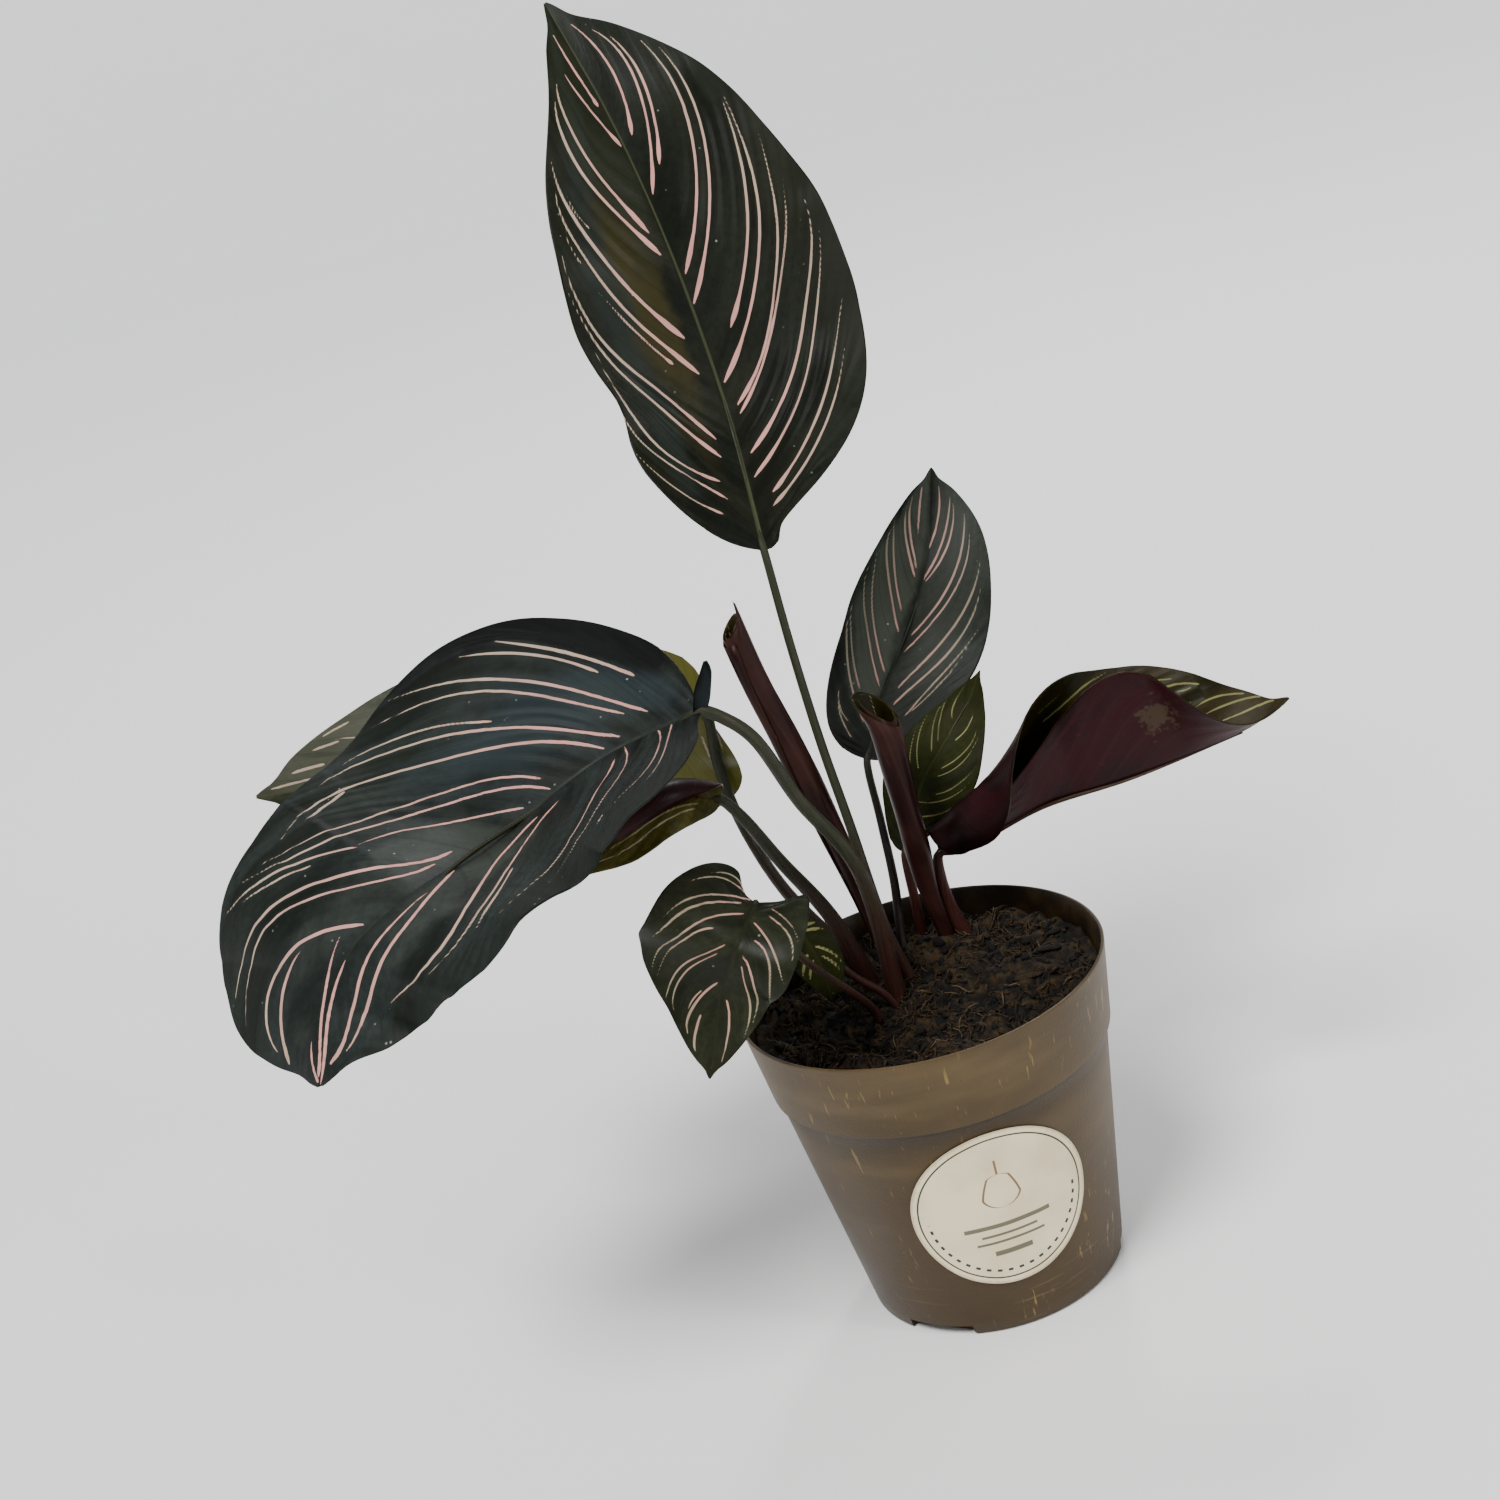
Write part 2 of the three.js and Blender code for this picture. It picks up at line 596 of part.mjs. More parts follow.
function makePot() {
  const inner = (radius) => radius - WALL;
  const profile = [
    [0, 0],
    [POT_BASE_RADIUS - 1, 0],
    [POT_BASE_RADIUS, 1],
    [BODY_TOP_RADIUS, COLLAR_BOTTOM - 0.8],
    [COLLAR_BOTTOM_RADIUS, COLLAR_BOTTOM],
    [POT_RIM_RADIUS, POT_HEIGHT - RIM_ROLL],
    [POT_RIM_RADIUS - RIM_ROLL, POT_HEIGHT],
    [POT_RIM_RADIUS - WALL, POT_HEIGHT - 0.3],
    [inner(COLLAR_BOTTOM_RADIUS), COLLAR_BOTTOM + 1],
    [inner(BODY_TOP_RADIUS), COLLAR_BOTTOM - 1],
    [inner(POT_BASE_RADIUS), POT_FLOOR],
    [0, POT_FLOOR],
  ].map(([x, y]) => new THREE.Vector2(x, y));
  const lathe = new THREE.LatheGeometry(profile, POT_SIDES);
  lathe.rotateX(Math.PI / 2);
  let solid = toSolid(lathe);
  for (let i = 0; i < NOTCH_COUNT; i += 1) {
    const angle = radians(NOTCH_FIRST_ANGLE + (360 / NOTCH_COUNT) * i);
    const box = new THREE.BoxGeometry(2 * NOTCH_DEPTH, NOTCH_WIDTH, 2 * NOTCH_HEIGHT);
    box.translate(POT_BASE_RADIUS, 0, 0);
    box.rotateZ(angle);
    solid = solid.subtract(toSolid(box));
  }
  return makeMesh('pot', solid, 0x6a5a40, 0.5);
}

// Height of the mix: gentle mounds, higher round the crown of the plant.
function soilHeight(x, y) {
  const crown = 2.2 * Math.exp(-((x + 6) ** 2 + (y - 16) ** 2) / 500);
  const lumps = Math.sin(0.21 * x + 0.7) * Math.cos(0.17 * y - 0.4) + 0.5 * Math.sin(0.33 * y + 0.26 * x);
  return SOIL_LEVEL + crown + SOIL_RELIEF * lumps * 0.7;
}

function makeSoil(holes) {
  const topRadius = ramp(SOIL_LEVEL, [
    [COLLAR_BOTTOM, COLLAR_BOTTOM_RADIUS], [POT_HEIGHT, POT_RIM_RADIUS],
  ]) - WALL - SOIL_WALL_GAP;
  const bodyRadius = BODY_TOP_RADIUS - WALL - SOIL_WALL_GAP;
  const footRadius = POT_BASE_RADIUS - WALL - SOIL_WALL_GAP;
  const profile = [new THREE.Vector2(0, SOIL_BOTTOM), new THREE.Vector2(footRadius, SOIL_BOTTOM)];
  profile.push(new THREE.Vector2(bodyRadius, COLLAR_BOTTOM - 1.4));
  for (let ring = SOIL_RINGS; ring >= 0; ring -= 1) {
    profile.push(new THREE.Vector2(topRadius * (ring / SOIL_RINGS), SOIL_LEVEL));
  }
  const lathe = new THREE.LatheGeometry(profile, SOIL_SIDES);
  lathe.rotateX(Math.PI / 2);
  const position = lathe.getAttribute('position');
  for (let i = 0; i < position.count; i += 1) {
    if (position.getZ(i) > SOIL_LEVEL - 0.1) {
      position.setZ(i, soilHeight(position.getX(i), position.getY(i)));
    }
  }
  let solid = toSolid(lathe);
  for (const hole of holes) {
    solid = solid.subtract(hole);
  }
  return makeMesh('potting_mix', solid, 0x2c241c, 0.95);
}

// The sticker lies on the tapered wall: across and up become angle and height there.
function makeSticker() {
  const slope = (BODY_TOP_RADIUS - POT_BASE_RADIUS) / COLLAR_BOTTOM;
  const tilt = Math.atan(slope);
  const grid = [];
  for (let i = 0; i <= STICKER_SIDES; i += 1) {
    const turn = (2 * Math.PI * i) / STICKER_SIDES;
    const row = [];
    for (let j = 0; j <= STICKER_RINGS; j += 1) {
      const r = (STICKER_RADIUS * j) / STICKER_RINGS;
      const z = STICKER_HEIGHT + r * Math.sin(turn) * Math.cos(tilt);
      const wall = POT_BASE_RADIUS + slope * z;
      const angle = radians(STICKER_ANGLE) + (r * Math.cos(turn)) / wall;
      const out = wall + STICKER_GAP + STICKER_THICKNESS / 2;
      const point = new THREE.Vector3(out * Math.cos(angle), out * Math.sin(angle), z);
      const normal = new THREE.Vector3(Math.cos(angle), Math.sin(angle), -slope).normalize();
      row.push({ point, normal });
    }
    grid.push(row);
  }
  return makeMesh('sticker', toSolid(sheetGeometry(grid, STICKER_THICKNESS)), 0xcfc7b8, 0.6);
}

const plant = new THREE.Group();
plant.name = 'pinstripe_calathea';
const holes = [];
for (const leaf of LEAVES) {
  plant.add(makeLeaf(leaf));
  holes.push(stemHole(leaf.stem, leaf.stemRadii));
}
for (const leaf of ROLLED_LEAVES) {
  plant.add(makeRolledLeaf(leaf));
  holes.push(stemHole(leaf.line, leaf.radii));
}
plant.add(makePot(), makeSoil(holes), makeSticker());

export default plant;
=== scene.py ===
"""A pinstripe calathea in its nursery pot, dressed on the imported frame.

Lengths are in millimetres until a mesh is made, and every piece sits in the frame of the CAD model.
A point of a flat blade is a complex number: its distance along the midrib and, as the imaginary part,
away from it.
"""

import math

import bmesh
import bpy
import numpy as np
from mathutils import Matrix, Vector


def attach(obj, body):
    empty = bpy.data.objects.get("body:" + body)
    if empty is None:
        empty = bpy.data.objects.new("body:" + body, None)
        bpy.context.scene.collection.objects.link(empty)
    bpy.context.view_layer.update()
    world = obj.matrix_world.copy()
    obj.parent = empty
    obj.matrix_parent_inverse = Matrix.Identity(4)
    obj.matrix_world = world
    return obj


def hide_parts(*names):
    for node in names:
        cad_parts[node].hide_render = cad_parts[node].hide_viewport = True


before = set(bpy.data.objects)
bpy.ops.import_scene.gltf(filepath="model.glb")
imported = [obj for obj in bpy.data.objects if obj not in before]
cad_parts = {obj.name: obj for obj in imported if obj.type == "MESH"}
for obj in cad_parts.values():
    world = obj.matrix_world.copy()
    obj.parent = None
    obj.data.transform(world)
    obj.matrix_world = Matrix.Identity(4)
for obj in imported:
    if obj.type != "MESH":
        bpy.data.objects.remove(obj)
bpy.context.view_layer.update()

MM = 0.001

# Leaves: thickness of a blade, foot of the stalks, half-width of a midrib, spacing of the fine veins.
BLADE = 0.45
STALK_FOOT = 88
RIB_WIDTH = 0.9
VEIN_STEP = 6.6

# Outline of a half: the shares of the midrib at which its widths are given, the share at which the
# lobe ends, and the place, breadth and depth of the neck before the tip.
WIDTH_STATIONS = np.array([0, 0.1, 0.3, 0.5, 0.7, 0.9, 1])
LOBE_END = 0.35
NECK_PLACE, NECK_BREADTH, NECK_DEPTH = 0.965, 0.03, 0.3

# Side veins: the shares of the margin that the starts are given for, and the usual values.
VEIN_STATIONS = (0, 0.2, 0.4, 0.6, 0.8, 0.9, 1)
USUAL_VEINS = (44, 20, (0.06, 0.13, 0.24, 0.43, 0.59))
USUAL_CURL = {"left": [(0, -10), (1, -10)], "right": [(0, -8), (1, -8)]}

# Cross rows of a blade's mesh: how far they sweep forward from the midrib, the first, the last, and
# the share over which the first ones bow out to the base.
ROW_SWEEP = 1.15
FIRST_ROW = 0.03
LAST_ROW = 0.997
BASE_FADE = 0.12

# Relief of a blade: ripples of the edge, quilting between the veins, slow lumps, midrib groove.
RIPPLE = 0.12
QUILT = 0.17
LUMP = 0.22
GROOVE = 0.28

# Where the vein values of right halves start, the value of a point outside all stripes, and how
# strongly a leaf shines.
RIGHT_HALF = 300
OUTSIDE = -2.0
LEAF_SHINE = 0.13

# Pot, with three notches in its lower edge.
POT_HEIGHT = 110
POT_FLOOR = 2
BASE_RADIUS = 42.5
BODY_TOP = 54.8
COLLAR_BOTTOM = 83
COLLAR_RADIUS = 56.2
RIM_RADIUS = 60
WALL = 1.3
POT_SIDES = 176
NOTCH_COUNT = 3
NOTCH_WIDTH = 23
NOTCH_HEIGHT = 3.8
NOTCH_ANGLE = -124

# Potting mix, and the loose matter on it.
MIX_BOTTOM = 2.5
MIX_LEVEL = 98.5
MIX_RADIUS = 56.9
MIX_SIDES = 200
MIX_RINGS = 64
CRUMBS = 900
FIBRES = 900

# Sticker.
STICKER_RADIUS = 29.5
STICKER_HEIGHT = 48.5
STICKER_ANGLE = -83
STICKER_THICKNESS = 0.3
STICKER_GAP = 0.5
STICKER_GRID = 73

# Camera: the lens and sensor in millimetres, the place in metres, and tilt, roll and turn.
LENS = 60
SENSOR = 36
CAMERA_PLACE = (0, -0.7259, 0.4624)
CAMERA_ANGLES = (69.27, 15.256, -3.143)

# A leaf has a stalk from the mix upwards, a midrib from the stalk to the tip and the direction that its
# face looks in at shares of the midrib. Wave is the height and number of ripples of the margin, grid the
# mesh spacing, first_row where the mesh starts, and ease how far sharp bends are smoothed. Club is how
# much a stripe swells at its start, and weight a factor for all widths. Without a ridge the stalk ends
# at the blade, and a tongue is a piece of the base curled up beside the joint.
# Of each half there are the half-width, the relative width at a tenth, three, five, seven and nine
# tenths, how far the lobe reaches back, an exponent that moves the peak towards the base the smaller it
# is, and the lift and curl in degrees at shares of the midrib. Veins are the angle at which the side
# veins leave the midrib, their turn near the margin and where those of 0.2, 0.4, 0.6, 0.8 and 0.9 of the
# margin start. A stripe is three or four points on the flat blade, along the midrib and away from it,
# and its width. Most of these values were fitted to the photograph by scratch programs and rounded.
LEAVES = {
    "leaf_tall": {
        "stem": [
            (-3, 17, 96), (-7, 19, 119), (-9, 23, 156), (-11, 28, 185), (-12, 34, 218), (-12, 39, 248),
        ],
        "stem_radii": (2.4, 2, 1.6, 1.5, 1.4, 1.3),
        "midrib": [(-12, 39, 248), (-12, 75, 290), (-16, 83, 342), (-23, 98, 383), (-34, 121, 422)],
        "facing": [(0, 0.25, -0.8, 0.5), (1, 0.15, -0.8, 0.6)],
        "wave": (1.6, 4), "grid": 0.68, "club": 0.9, "weight": 0.85,
        "left": {
            "width": 43, "fullness": (1.17, 0.93, 0.98, 0.91, 0.73), "peak": 0.86,
            "lift": [(0, 23), (0.5, 19), (0.85, 19)],
            "veins": (51, 19, (0, 0.06, 0.23, 0.5, 0.67)),
            "stripes": [
                (12, 12, 21, 26, 38, 36, 0.7), (18, 9, 39, 31, 67, 38, 0.7), (25, 10, 44, 30, 86, 38, 0.9),
                (35, 7, 67, 29, 106, 40, 1), (72, 14, 84, 21, 103, 30, 0.8), (42, 7, 85, 33, 116, 37, 1),
                (66, 6, 106, 28, 136, 29, 1.1), (112, 32, 118, 33, 124, 32, 0.45),
                (79, 7, 114, 25, 145, 26, 1.3), (121, 24, 127, 26, 133, 26, 0.5),
                (106, 4, 139, 18, 163, 16, 1.2), (114, 5, 147, 15, 169, 12, 1.1),
                (143, 1, 160, 6, 172, 7, 0.9), (158, 2, 171, 3, 187, 3, 0.9),
            ],
        },
        "right": {
            "width": 50, "fullness": (0.32, 1.09, 1.06, 1.05, 1.14), "lobe": 0.06, "peak": 0.9,
            "lift": [(0, -8), (0.5, 7), (0.85, 10)],
            "veins": (47, 32, (0, 0.06, 0.2, 0.39, 0.55)),
            "stripes": [
                (16, 7, 37, 27, 61, 45, 0.8), (21, 8, 46, 30, 74, 50, 0.9), (27, 3, 65, 35, 95, 48, 0.8),
                (36, 4, 74, 36, 107, 47, 1), (50, 4, 80, 28, 114, 43, 0.8), (53, 4, 85, 29, 131, 42, 0.9),
                (61, 2, 100, 29, 144, 36, 1.1), (77, 10, 108, 28, 143, 35, 1.1),
                (88, 1, 129, 23, 167, 25, 1), (98, 2, 136, 21, 172, 21, 1), (125, 2, 160, 13, 183, 9, 0.9),
                (133, 8, 158, 15, 178, 13, 0.9), (145, 4, 168, 8, 188, 4, 0.9),
            ],
        },
    },
    "leaf_left": {
        "stem": [
            (-9, 9, 96), (-10, 5, 148), (-22, -2, 179), (-30, -8, 205), (-36, -9, 213), (-43, -9, 218),
        ],
        "stem_radii": (3.2, 2.5, 2.2, 2.1, 2, 1.9),
        "midrib": [
            (-43, -9, 218), (-76, -4, 210), (-116, -20, 198), (-142, -47, 198), (-158, -54, 191),
            (-170, -57, 176), (-174, -80, 163),
        ],
        "facing": [(0, -0.2, -0.5, 0.85), (0.6, -0.3, -0.6, 0.75), (1, -0.7, -0.7, 0.3)],
        "tongue": [
            (-44, -9, 216), (-41.8, -10, 221), (-40, -11, 226), (-38, -12.5, 230.5), (-37, -14, 234.5),
        ],
        "wave": (1.2, 4), "grid": 0.74, "ease": 0.08, "first_row": 0.05, "club": 0.25, "weight": 0.9,
        "left": {
            "width": 71, "fullness": (0.91, 0.99, 0.77, 0.8, 1.04), "lobe": 0.14, "peak": 1,
            "lift": [(0, 34), (0.35, 31), (0.6, 19), (0.8, -2), (1, -37)], "curl": [(0, -5), (1, -10)],
            "veins": (85, 37, (0.03, 0.08, 0.15, 0.35, 0.52)),
            "stripes": [
                (10, 0, 12, 25, 21, 39, 0.6), (15, 0, 17, 27, 40, 44, 0.6), (45, 43, 48, 44, 51, 45, 0.7),
                (27, 1, 34, 29, 59, 41, 87, 47, 0.6), (31, 7, 55, 34, 108, 42, 0.8),
                (86, 26, 101, 33, 116, 37, 1), (54, 9, 81, 21, 107, 32, 136, 33, 0.9),
                (63, 8, 92, 18, 122, 30, 151, 22, 1.3), (175, 3, 154, 9, 131, 7, 109, 5, 1.2),
                (95, 2, 140, 14, 170, 8, 1.4), (140, 0, 165, 1, 182, 0, 1.2),
            ],
        },
        "right": {
            "width": 80, "fullness": (0.97, 1.1, 0.81, 0.92, 1.3), "lobe": 0.03, "peak": 1,
            "lift": [(0, 6), (0.35, 6), (0.6, 7), (0.8, -3), (1, 4)],
            "veins": (62, 25, (0, 0.07, 0.17, 0.37, 0.58)),
            "stripes": [
                (16, 23, 30, 43, 43, 64, 1.1), (25, 30, 39, 52, 51, 68, 0.9),
                (16, 8, 34, 30, 49, 53, 68, 75, 1),
                (23, 11, 41, 34, 56, 56, 79, 71, 0.8), (27, 4, 49, 28, 71, 51, 103, 59, 1),
                (54, 38, 72, 57, 90, 61, 0.7), (33, 3, 79, 45, 118, 53, 1), (63, 3, 88, 20, 108, 29, 0.8),
                (53, 7, 75, 27, 101, 38, 126, 53, 0.8), (95, 51, 103, 51, 111, 51, 1),
                (53, 2, 78, 23, 107, 36, 131, 56, 0.9), (109, 28, 123, 43, 138, 57, 0.9),
                (120, 36, 128, 44, 135, 52, 0.7), (89, 6, 112, 17, 131, 37, 154, 46, 1.2),
                (97, 5, 120, 17, 136, 36, 159, 39, 0.9), (179, 1, 157, 2, 134, 7, 1.3),
                (171, 16, 153, 22, 141, 19, 1.5), (128, 3, 148, 28, 167, 22, 1.3),
                (181, 1, 174, 4, 166, 5, 0.9),
            ],
        },
    },
    "leaf_back": {
        "stem": [
            (-15, 26, 96), (-21, 28, 109), (-36, 38, 134), (-44, 47, 158), (-46, 49, 179), (-45, 45, 199),
        ],
        "stem_radii": (2.8, 2.5, 2.1, 1.9, 1.8, 1.7),
        "midrib": [(-45, 45, 199), (-82, 62, 195), (-134, 68, 197), (-168, 68, 200), (-198, 60, 207)],
        "facing": [(0, 0, -0.6, 0.8), (1, 0, -0.6, 0.8)],
        "wave": (1.4, 3), "grid": 0.85, "first_row": 0.09,
        "left": {
            "width": 42, "fullness": (1.05, 1, 0.95, 0.95, 0.85), "lobe": 0.12, "peak": 0.8,
            "lift": [(0, -75), (0.2, -60), (0.5, -25), (1, 0)], "curl": [(0, 10), (1, -10)],
            "stripes": [
                (6, 9, 7, 14, 8, 21, 0.8), (0, 5, 1, 12, 3, 19, 0.8), (22, 5, 31, 17, 42, 24, 0.8),
                (40, 5, 52, 16, 68, 22, 0.8), (60, 5, 76, 15, 94, 19, 0.8), (84, 4, 102, 12, 118, 14, 0.8),
                (108, 3, 126, 8, 138, 8, 0.8),
            ],
        },
        "right": {
            "width": 43, "fullness": (0.9, 0.96, 1, 1, 1.13), "lobe": 0.024, "peak": 0.85,
            "lift": [(0, 4), (0.5, 6), (1, 8)],
            "stripes": [
                (125, 24, 130, 22, 134, 20, 0.8), (129, 17, 134, 16, 138, 15, 1),
                (135, 9, 142, 8, 146, 7, 1.1), (140, 4, 148, 3, 154, 2, 0.9), (10, 8, 25, 27, 42, 37, 0.8),
                (30, 6, 49, 26, 66, 35, 0.8), (52, 6, 72, 24, 90, 31, 0.8), (76, 5, 95, 19, 114, 25, 0.8),
                (98, 4, 114, 14, 130, 18, 0.8),
            ],
        },
    },
    "leaf_low": {
        "stem": [(-15, 17, 96), (-23, 18, 129), (-34, 20, 152), (-42, 21, 170), (-47, 22, 177)],
        "stem_radii": (3.4, 2.6, 2.2, 2, 1.8),
        "midrib": [
            (-47, 22, 177), (-56, 19, 182), (-66, 13, 185), (-83, 13, 179), (-101, 8, 175), (-115, 4, 171),
        ],
        "facing": [(0, 0, -0.6, 0.8), (1, 0, -0.6, 0.8)],
        "wave": (0, 3), "grid": 0.7, "first_row": 0.01,
        "left": {
            "width": 13, "fullness": (1, 1.06, 1, 0.85, 0.77), "lobe": 0.03, "peak": 0.95,
            "lift": [(0, -12), (1, 6)], "curl": [(0, -5), (1, -10)],
            "stripes": [(10, 5, 33, 8, 52, 6, 0.6), (8, 3, 29, 5, 50, 4, 0.6)],
        },
        "right": {
            "width": 22, "fullness": (1, 1, 1, 1, 1), "peak": 0.85,
            "lift": [(0, 45), (1, 30)], "curl": [(0, 225), (0.6, 200), (1, 90)],
            "stripes": [],
        },
    },
    "leaf_mid": {
        "stem": [(-2, 33, 96), (-3, 36, 101), (0, 47, 123), (1, 57, 141), (2, 66, 160)],
        "stem_radii": (1.9, 1.7, 1.5, 1.4, 1.3),
        "midrib": [(2, 66, 160), (14, 76, 179), (27, 85, 194), (40, 92, 215), (50, 112, 240)],
        "facing": [(0, -0.1, -0.8, 0.5), (1, -0.1, -0.8, 0.6)],
        "wave": (0.6, 3), "grid": 0.6, "weight": 0.8,
        "left": {
            "width": 23, "fullness": (0.99, 0.93, 0.96, 0.99, 1.07), "lobe": 0.05, "peak": 0.85,
            "lift": [(0, 20), (0.5, 16), (0.85, 13)],
            "veins": (44, 18, (0.03, 0.08, 0.2, 0.42, 0.63)),
            "stripes": [
                (6, 7, 12, 12, 17, 14, 0.6), (11, 9, 15, 13, 21, 15, 0.6), (12, 4, 31, 16, 45, 21, 0.8),
                (22, 8, 39, 18, 52, 21, 0.7), (25, 2, 48, 16, 66, 19, 0.8), (30, 2, 50, 14, 72, 17, 0.8),
                (45, 3, 67, 13, 82, 13, 0.9), (52, 4, 69, 11, 87, 12, 0.8), (65, 3, 78, 8, 91, 8, 0.9),
                (98, 3, 87, 4, 79, 4, 0.8), (68, 3, 82, 7, 95, 6, 0.9),
            ],
        },
        "right": {
            "width": 28, "fullness": (1.01, 1.05, 1, 0.96, 1.03), "lobe": 0.03, "peak": 0.9,
            "lift": [(0, 20), (0.5, 14), (0.85, 11)],
            "veins": (60, 33, (0.06, 0.06, 0.14, 0.31, 0.49)),
            "stripes": [
                (19, 12, 32, 19, 47, 23, 0.6), (17, 10, 32, 17, 56, 25, 0.7), (20, 5, 45, 18, 66, 21, 1),
                (26, 5, 53, 16, 72, 19, 1), (39, 2, 63, 12, 80, 14, 0.8), (45, 2, 66, 10, 87, 12, 1),
                (64, 1, 78, 7, 91, 8, 0.7), (62, -1, 79, 5, 94, 7, 0.9), (75, 0, 87, 3, 98, 3, 0.9),
            ],
        },
    },
    "leaf_small": {
        "stem": [(4, 43, 96), (5, 45, 114), (6, 48, 131)],
        "stem_radii": (2, 1.7, 1.4),
        "midrib": [(6, 48, 131), (12, 51, 142), (17, 50, 152), (27, 51, 163), (38, 56, 172), (46, 58, 183)],
        "facing": [(0, -0.1, -0.8, 0.5), (1, -0.1, -0.8, 0.6)],
        "wave": (0.3, 3), "grid": 0.5, "first_row": 0.05, "weight": 0.62,
        "left": {
            "width": 13, "fullness": (0.93, 1.05, 1, 0.97, 1.03), "peak": 0.85,
            "lift": [(0, 5), (1, 5)],
            "veins": (43, 16, (0.05, 0.13, 0.26, 0.48, 0.63)),
            "stripes": [
                (26, 4, 32, 8, 41, 11, 0.7), (29, 3, 37, 8, 46, 10, 0.6), (36, 2, 46, 7, 53, 7, 0.6),
                (40, 2, 48, 6, 55, 7, 0.6), (49, 2, 54, 4, 62, 3, 0.6),
            ],
        },
        "right": {
            "width": 14.5, "fullness": (0.68, 1.02, 1.19, 1.06, 0.87), "peak": 0.8,
            "lift": [(0, 11), (1, 9)],
            "veins": (47, 18, (0.05, 0.14, 0.25, 0.41, 0.57)),
            "stripes": [
                (13, 2, 17, 9, 24, 14, 0.7), (18, 0, 24, 10, 35, 15, 0.6), (24, 6, 30, 11, 40, 14, 0.6),
                (30, 4, 38, 9, 48, 9, 0.6), (33, 4, 42, 8, 50, 7, 0.6), (43, 3, 49, 4, 54, 3, 0.7),
            ],
        },
    },
    "leaf_right": {
        "stem": [(19, 40, 96), (16, 40, 108), (15, 40, 121), (17, 40, 131)],
        "stem_radii": (3, 2.8, 2.2, 1.6),
        "midrib": [
            (17, 40, 131), (39, 36, 136), (56, 34, 141), (73, 32, 142), (90, 30, 144), (107, 28, 147),
            (124, 26, 151), (138, 24, 158),
        ],
        "facing": [(0, -0.2, 0, 0.95), (1, -0.2, 0, 0.95)],
        "wave": (0, 3), "grid": 0.7, "weight": 0.75,
        "left": {
            "width": 46, "fullness": (1.35, 1.05, 0.84, 0.89, 0.95), "peak": 0.85,
            "lift": [(0, 40), (0.25, 35), (0.5, 60), (0.8, 58), (0.92, 40), (1, 20)],
            "curl": [(0, 480), (0.1, 310), (0.25, 225), (0.36, 120), (0.5, 25), (0.6, 0), (1, 0)],
            "veins": (49, 19, (0.05, 0.12, 0.23, 0.44, 0.6)),
            "stripes": [
                (47, 33, 50, 34, 55, 35, 0.6), (47, 28, 59, 32, 72, 35, 1), (93, 25, 86, 27, 81, 27, 0.7),
                (101, 20, 93, 23, 85, 23, 0.9), (98, 20, 95, 20, 92, 21, 0.6),
                (114, 11, 105, 14, 95, 13, 0.9), (118, 7, 110, 10, 98, 10, 1), (121, 3, 114, 5, 102, 6, 1),
            ],
        },
        "right": {
            "width": 40, "fullness": (0.5, 0.54, 0.98, 1.2, 0.7), "peak": 0.88,
            "lift": [(0, 25), (0.2, 45), (0.4, 68), (0.7, 68), (0.9, 25), (1, 0)],
            "curl": [(0, 20), (0.4, 15), (1, 0)],
        },
    },
    "leaf_front": {
        "stem": [(-16, -6, 96), (-17, -7, 104), (-20, -12, 112), (-34, -27, 139), (-42, -38, 165)],
        "stem_radii": (1.7, 1.5, 1.3, 1.2, 1.1),
        "midrib": [(-42, -38, 165), (-50, -52, 158), (-59, -48, 143), (-69, -56, 121)],
        "facing": [(0, -0.1, -0.8, 0.5), (1, -0.1, -0.8, 0.3)],
        "wave": (0.4, 3), "grid": 0.5, "first_row": 0.09, "ridge": False, "weight": 0.72,
        "left": {
            "width": 18.5, "fullness": (1.05, 1.02, 0.87, 0.95, 1.02), "lobe": 0.21, "peak": 0.72,
            "lift": [(0, 15), (0.5, 2), (0.85, 5)],
            "veins": (49, 23, (0.05, 0.1, 0.18, 0.4, 0.58)),
            "stripes": [
                (5, 6, 11, 14, 17, 17, 0.7), (14, 4, 20, 12, 32, 15, 0.8), (2, 6, 7, 13, 12, 17, 0.6),
                (8, 2, 14, 9, 21, 17, 0.8), (19, 2, 28, 10, 43, 11, 0.9), (22, 3, 35, 9, 48, 9, 0.8),
                (37, 2, 45, 4, 56, 3, 0.9),
            ],
        },
        "right": {
            "width": 24, "fullness": (0.5, 1.15, 1.15, 0.86, 0.88), "lobe": 0.27, "peak": 0.72,
            "lift": [(0, 33), (0.5, 14), (0.85, 8)],
            "veins": (47, 29, (0.03, 0.03, 0.17, 0.4, 0.62)),
            "stripes": [
                (-2, 5, -4, 10, -1, 16, 0.7), (-1, 4, -1, 13, 5, 21, 0.7), (0, 1, 7, 15, 17, 24, 0.8),
                (3, 4, 13, 18, 24, 25, 0.9), (6, 2, 20, 18, 34, 22, 0.8), (15, 9, 22, 17, 36, 20, 0.7),
                (18, 4, 29, 13, 40, 16, 0.8), (21, 5, 34, 13, 43, 13, 0.7), (36, 6, 39, 8, 42, 9, 0.6),
                (32, 2, 42, 8, 49, 8, 1), (43, 5, 50, 6, 54, 5, 1),
            ],
        },
    },
    "leaf_hidden": {
        "stem": [(-9, 1, 96), (-13, 0, 106), (-20, -2, 115), (-28, -5, 129), (-34, -7, 141)],
        "stem_radii": (1.4, 1.3, 1.2, 1.1, 1),
        "midrib": [(-34, -7, 141), (-31, -10, 134), (-29, -11, 124), (-29, -11, 113)],
        "facing": [(0, -0.1, -0.8, 0.5), (1, -0.1, -0.8, 0.3)],
        "wave": (0.2, 3), "grid": 0.8, "ridge": False,
        "left": {
            "width": 8, "fullness": (1, 1, 1, 1, 1), "lobe": 0.02, "peak": 0.8,
            "lift": [(0, 5), (1, 5)],
        },
        "right": {
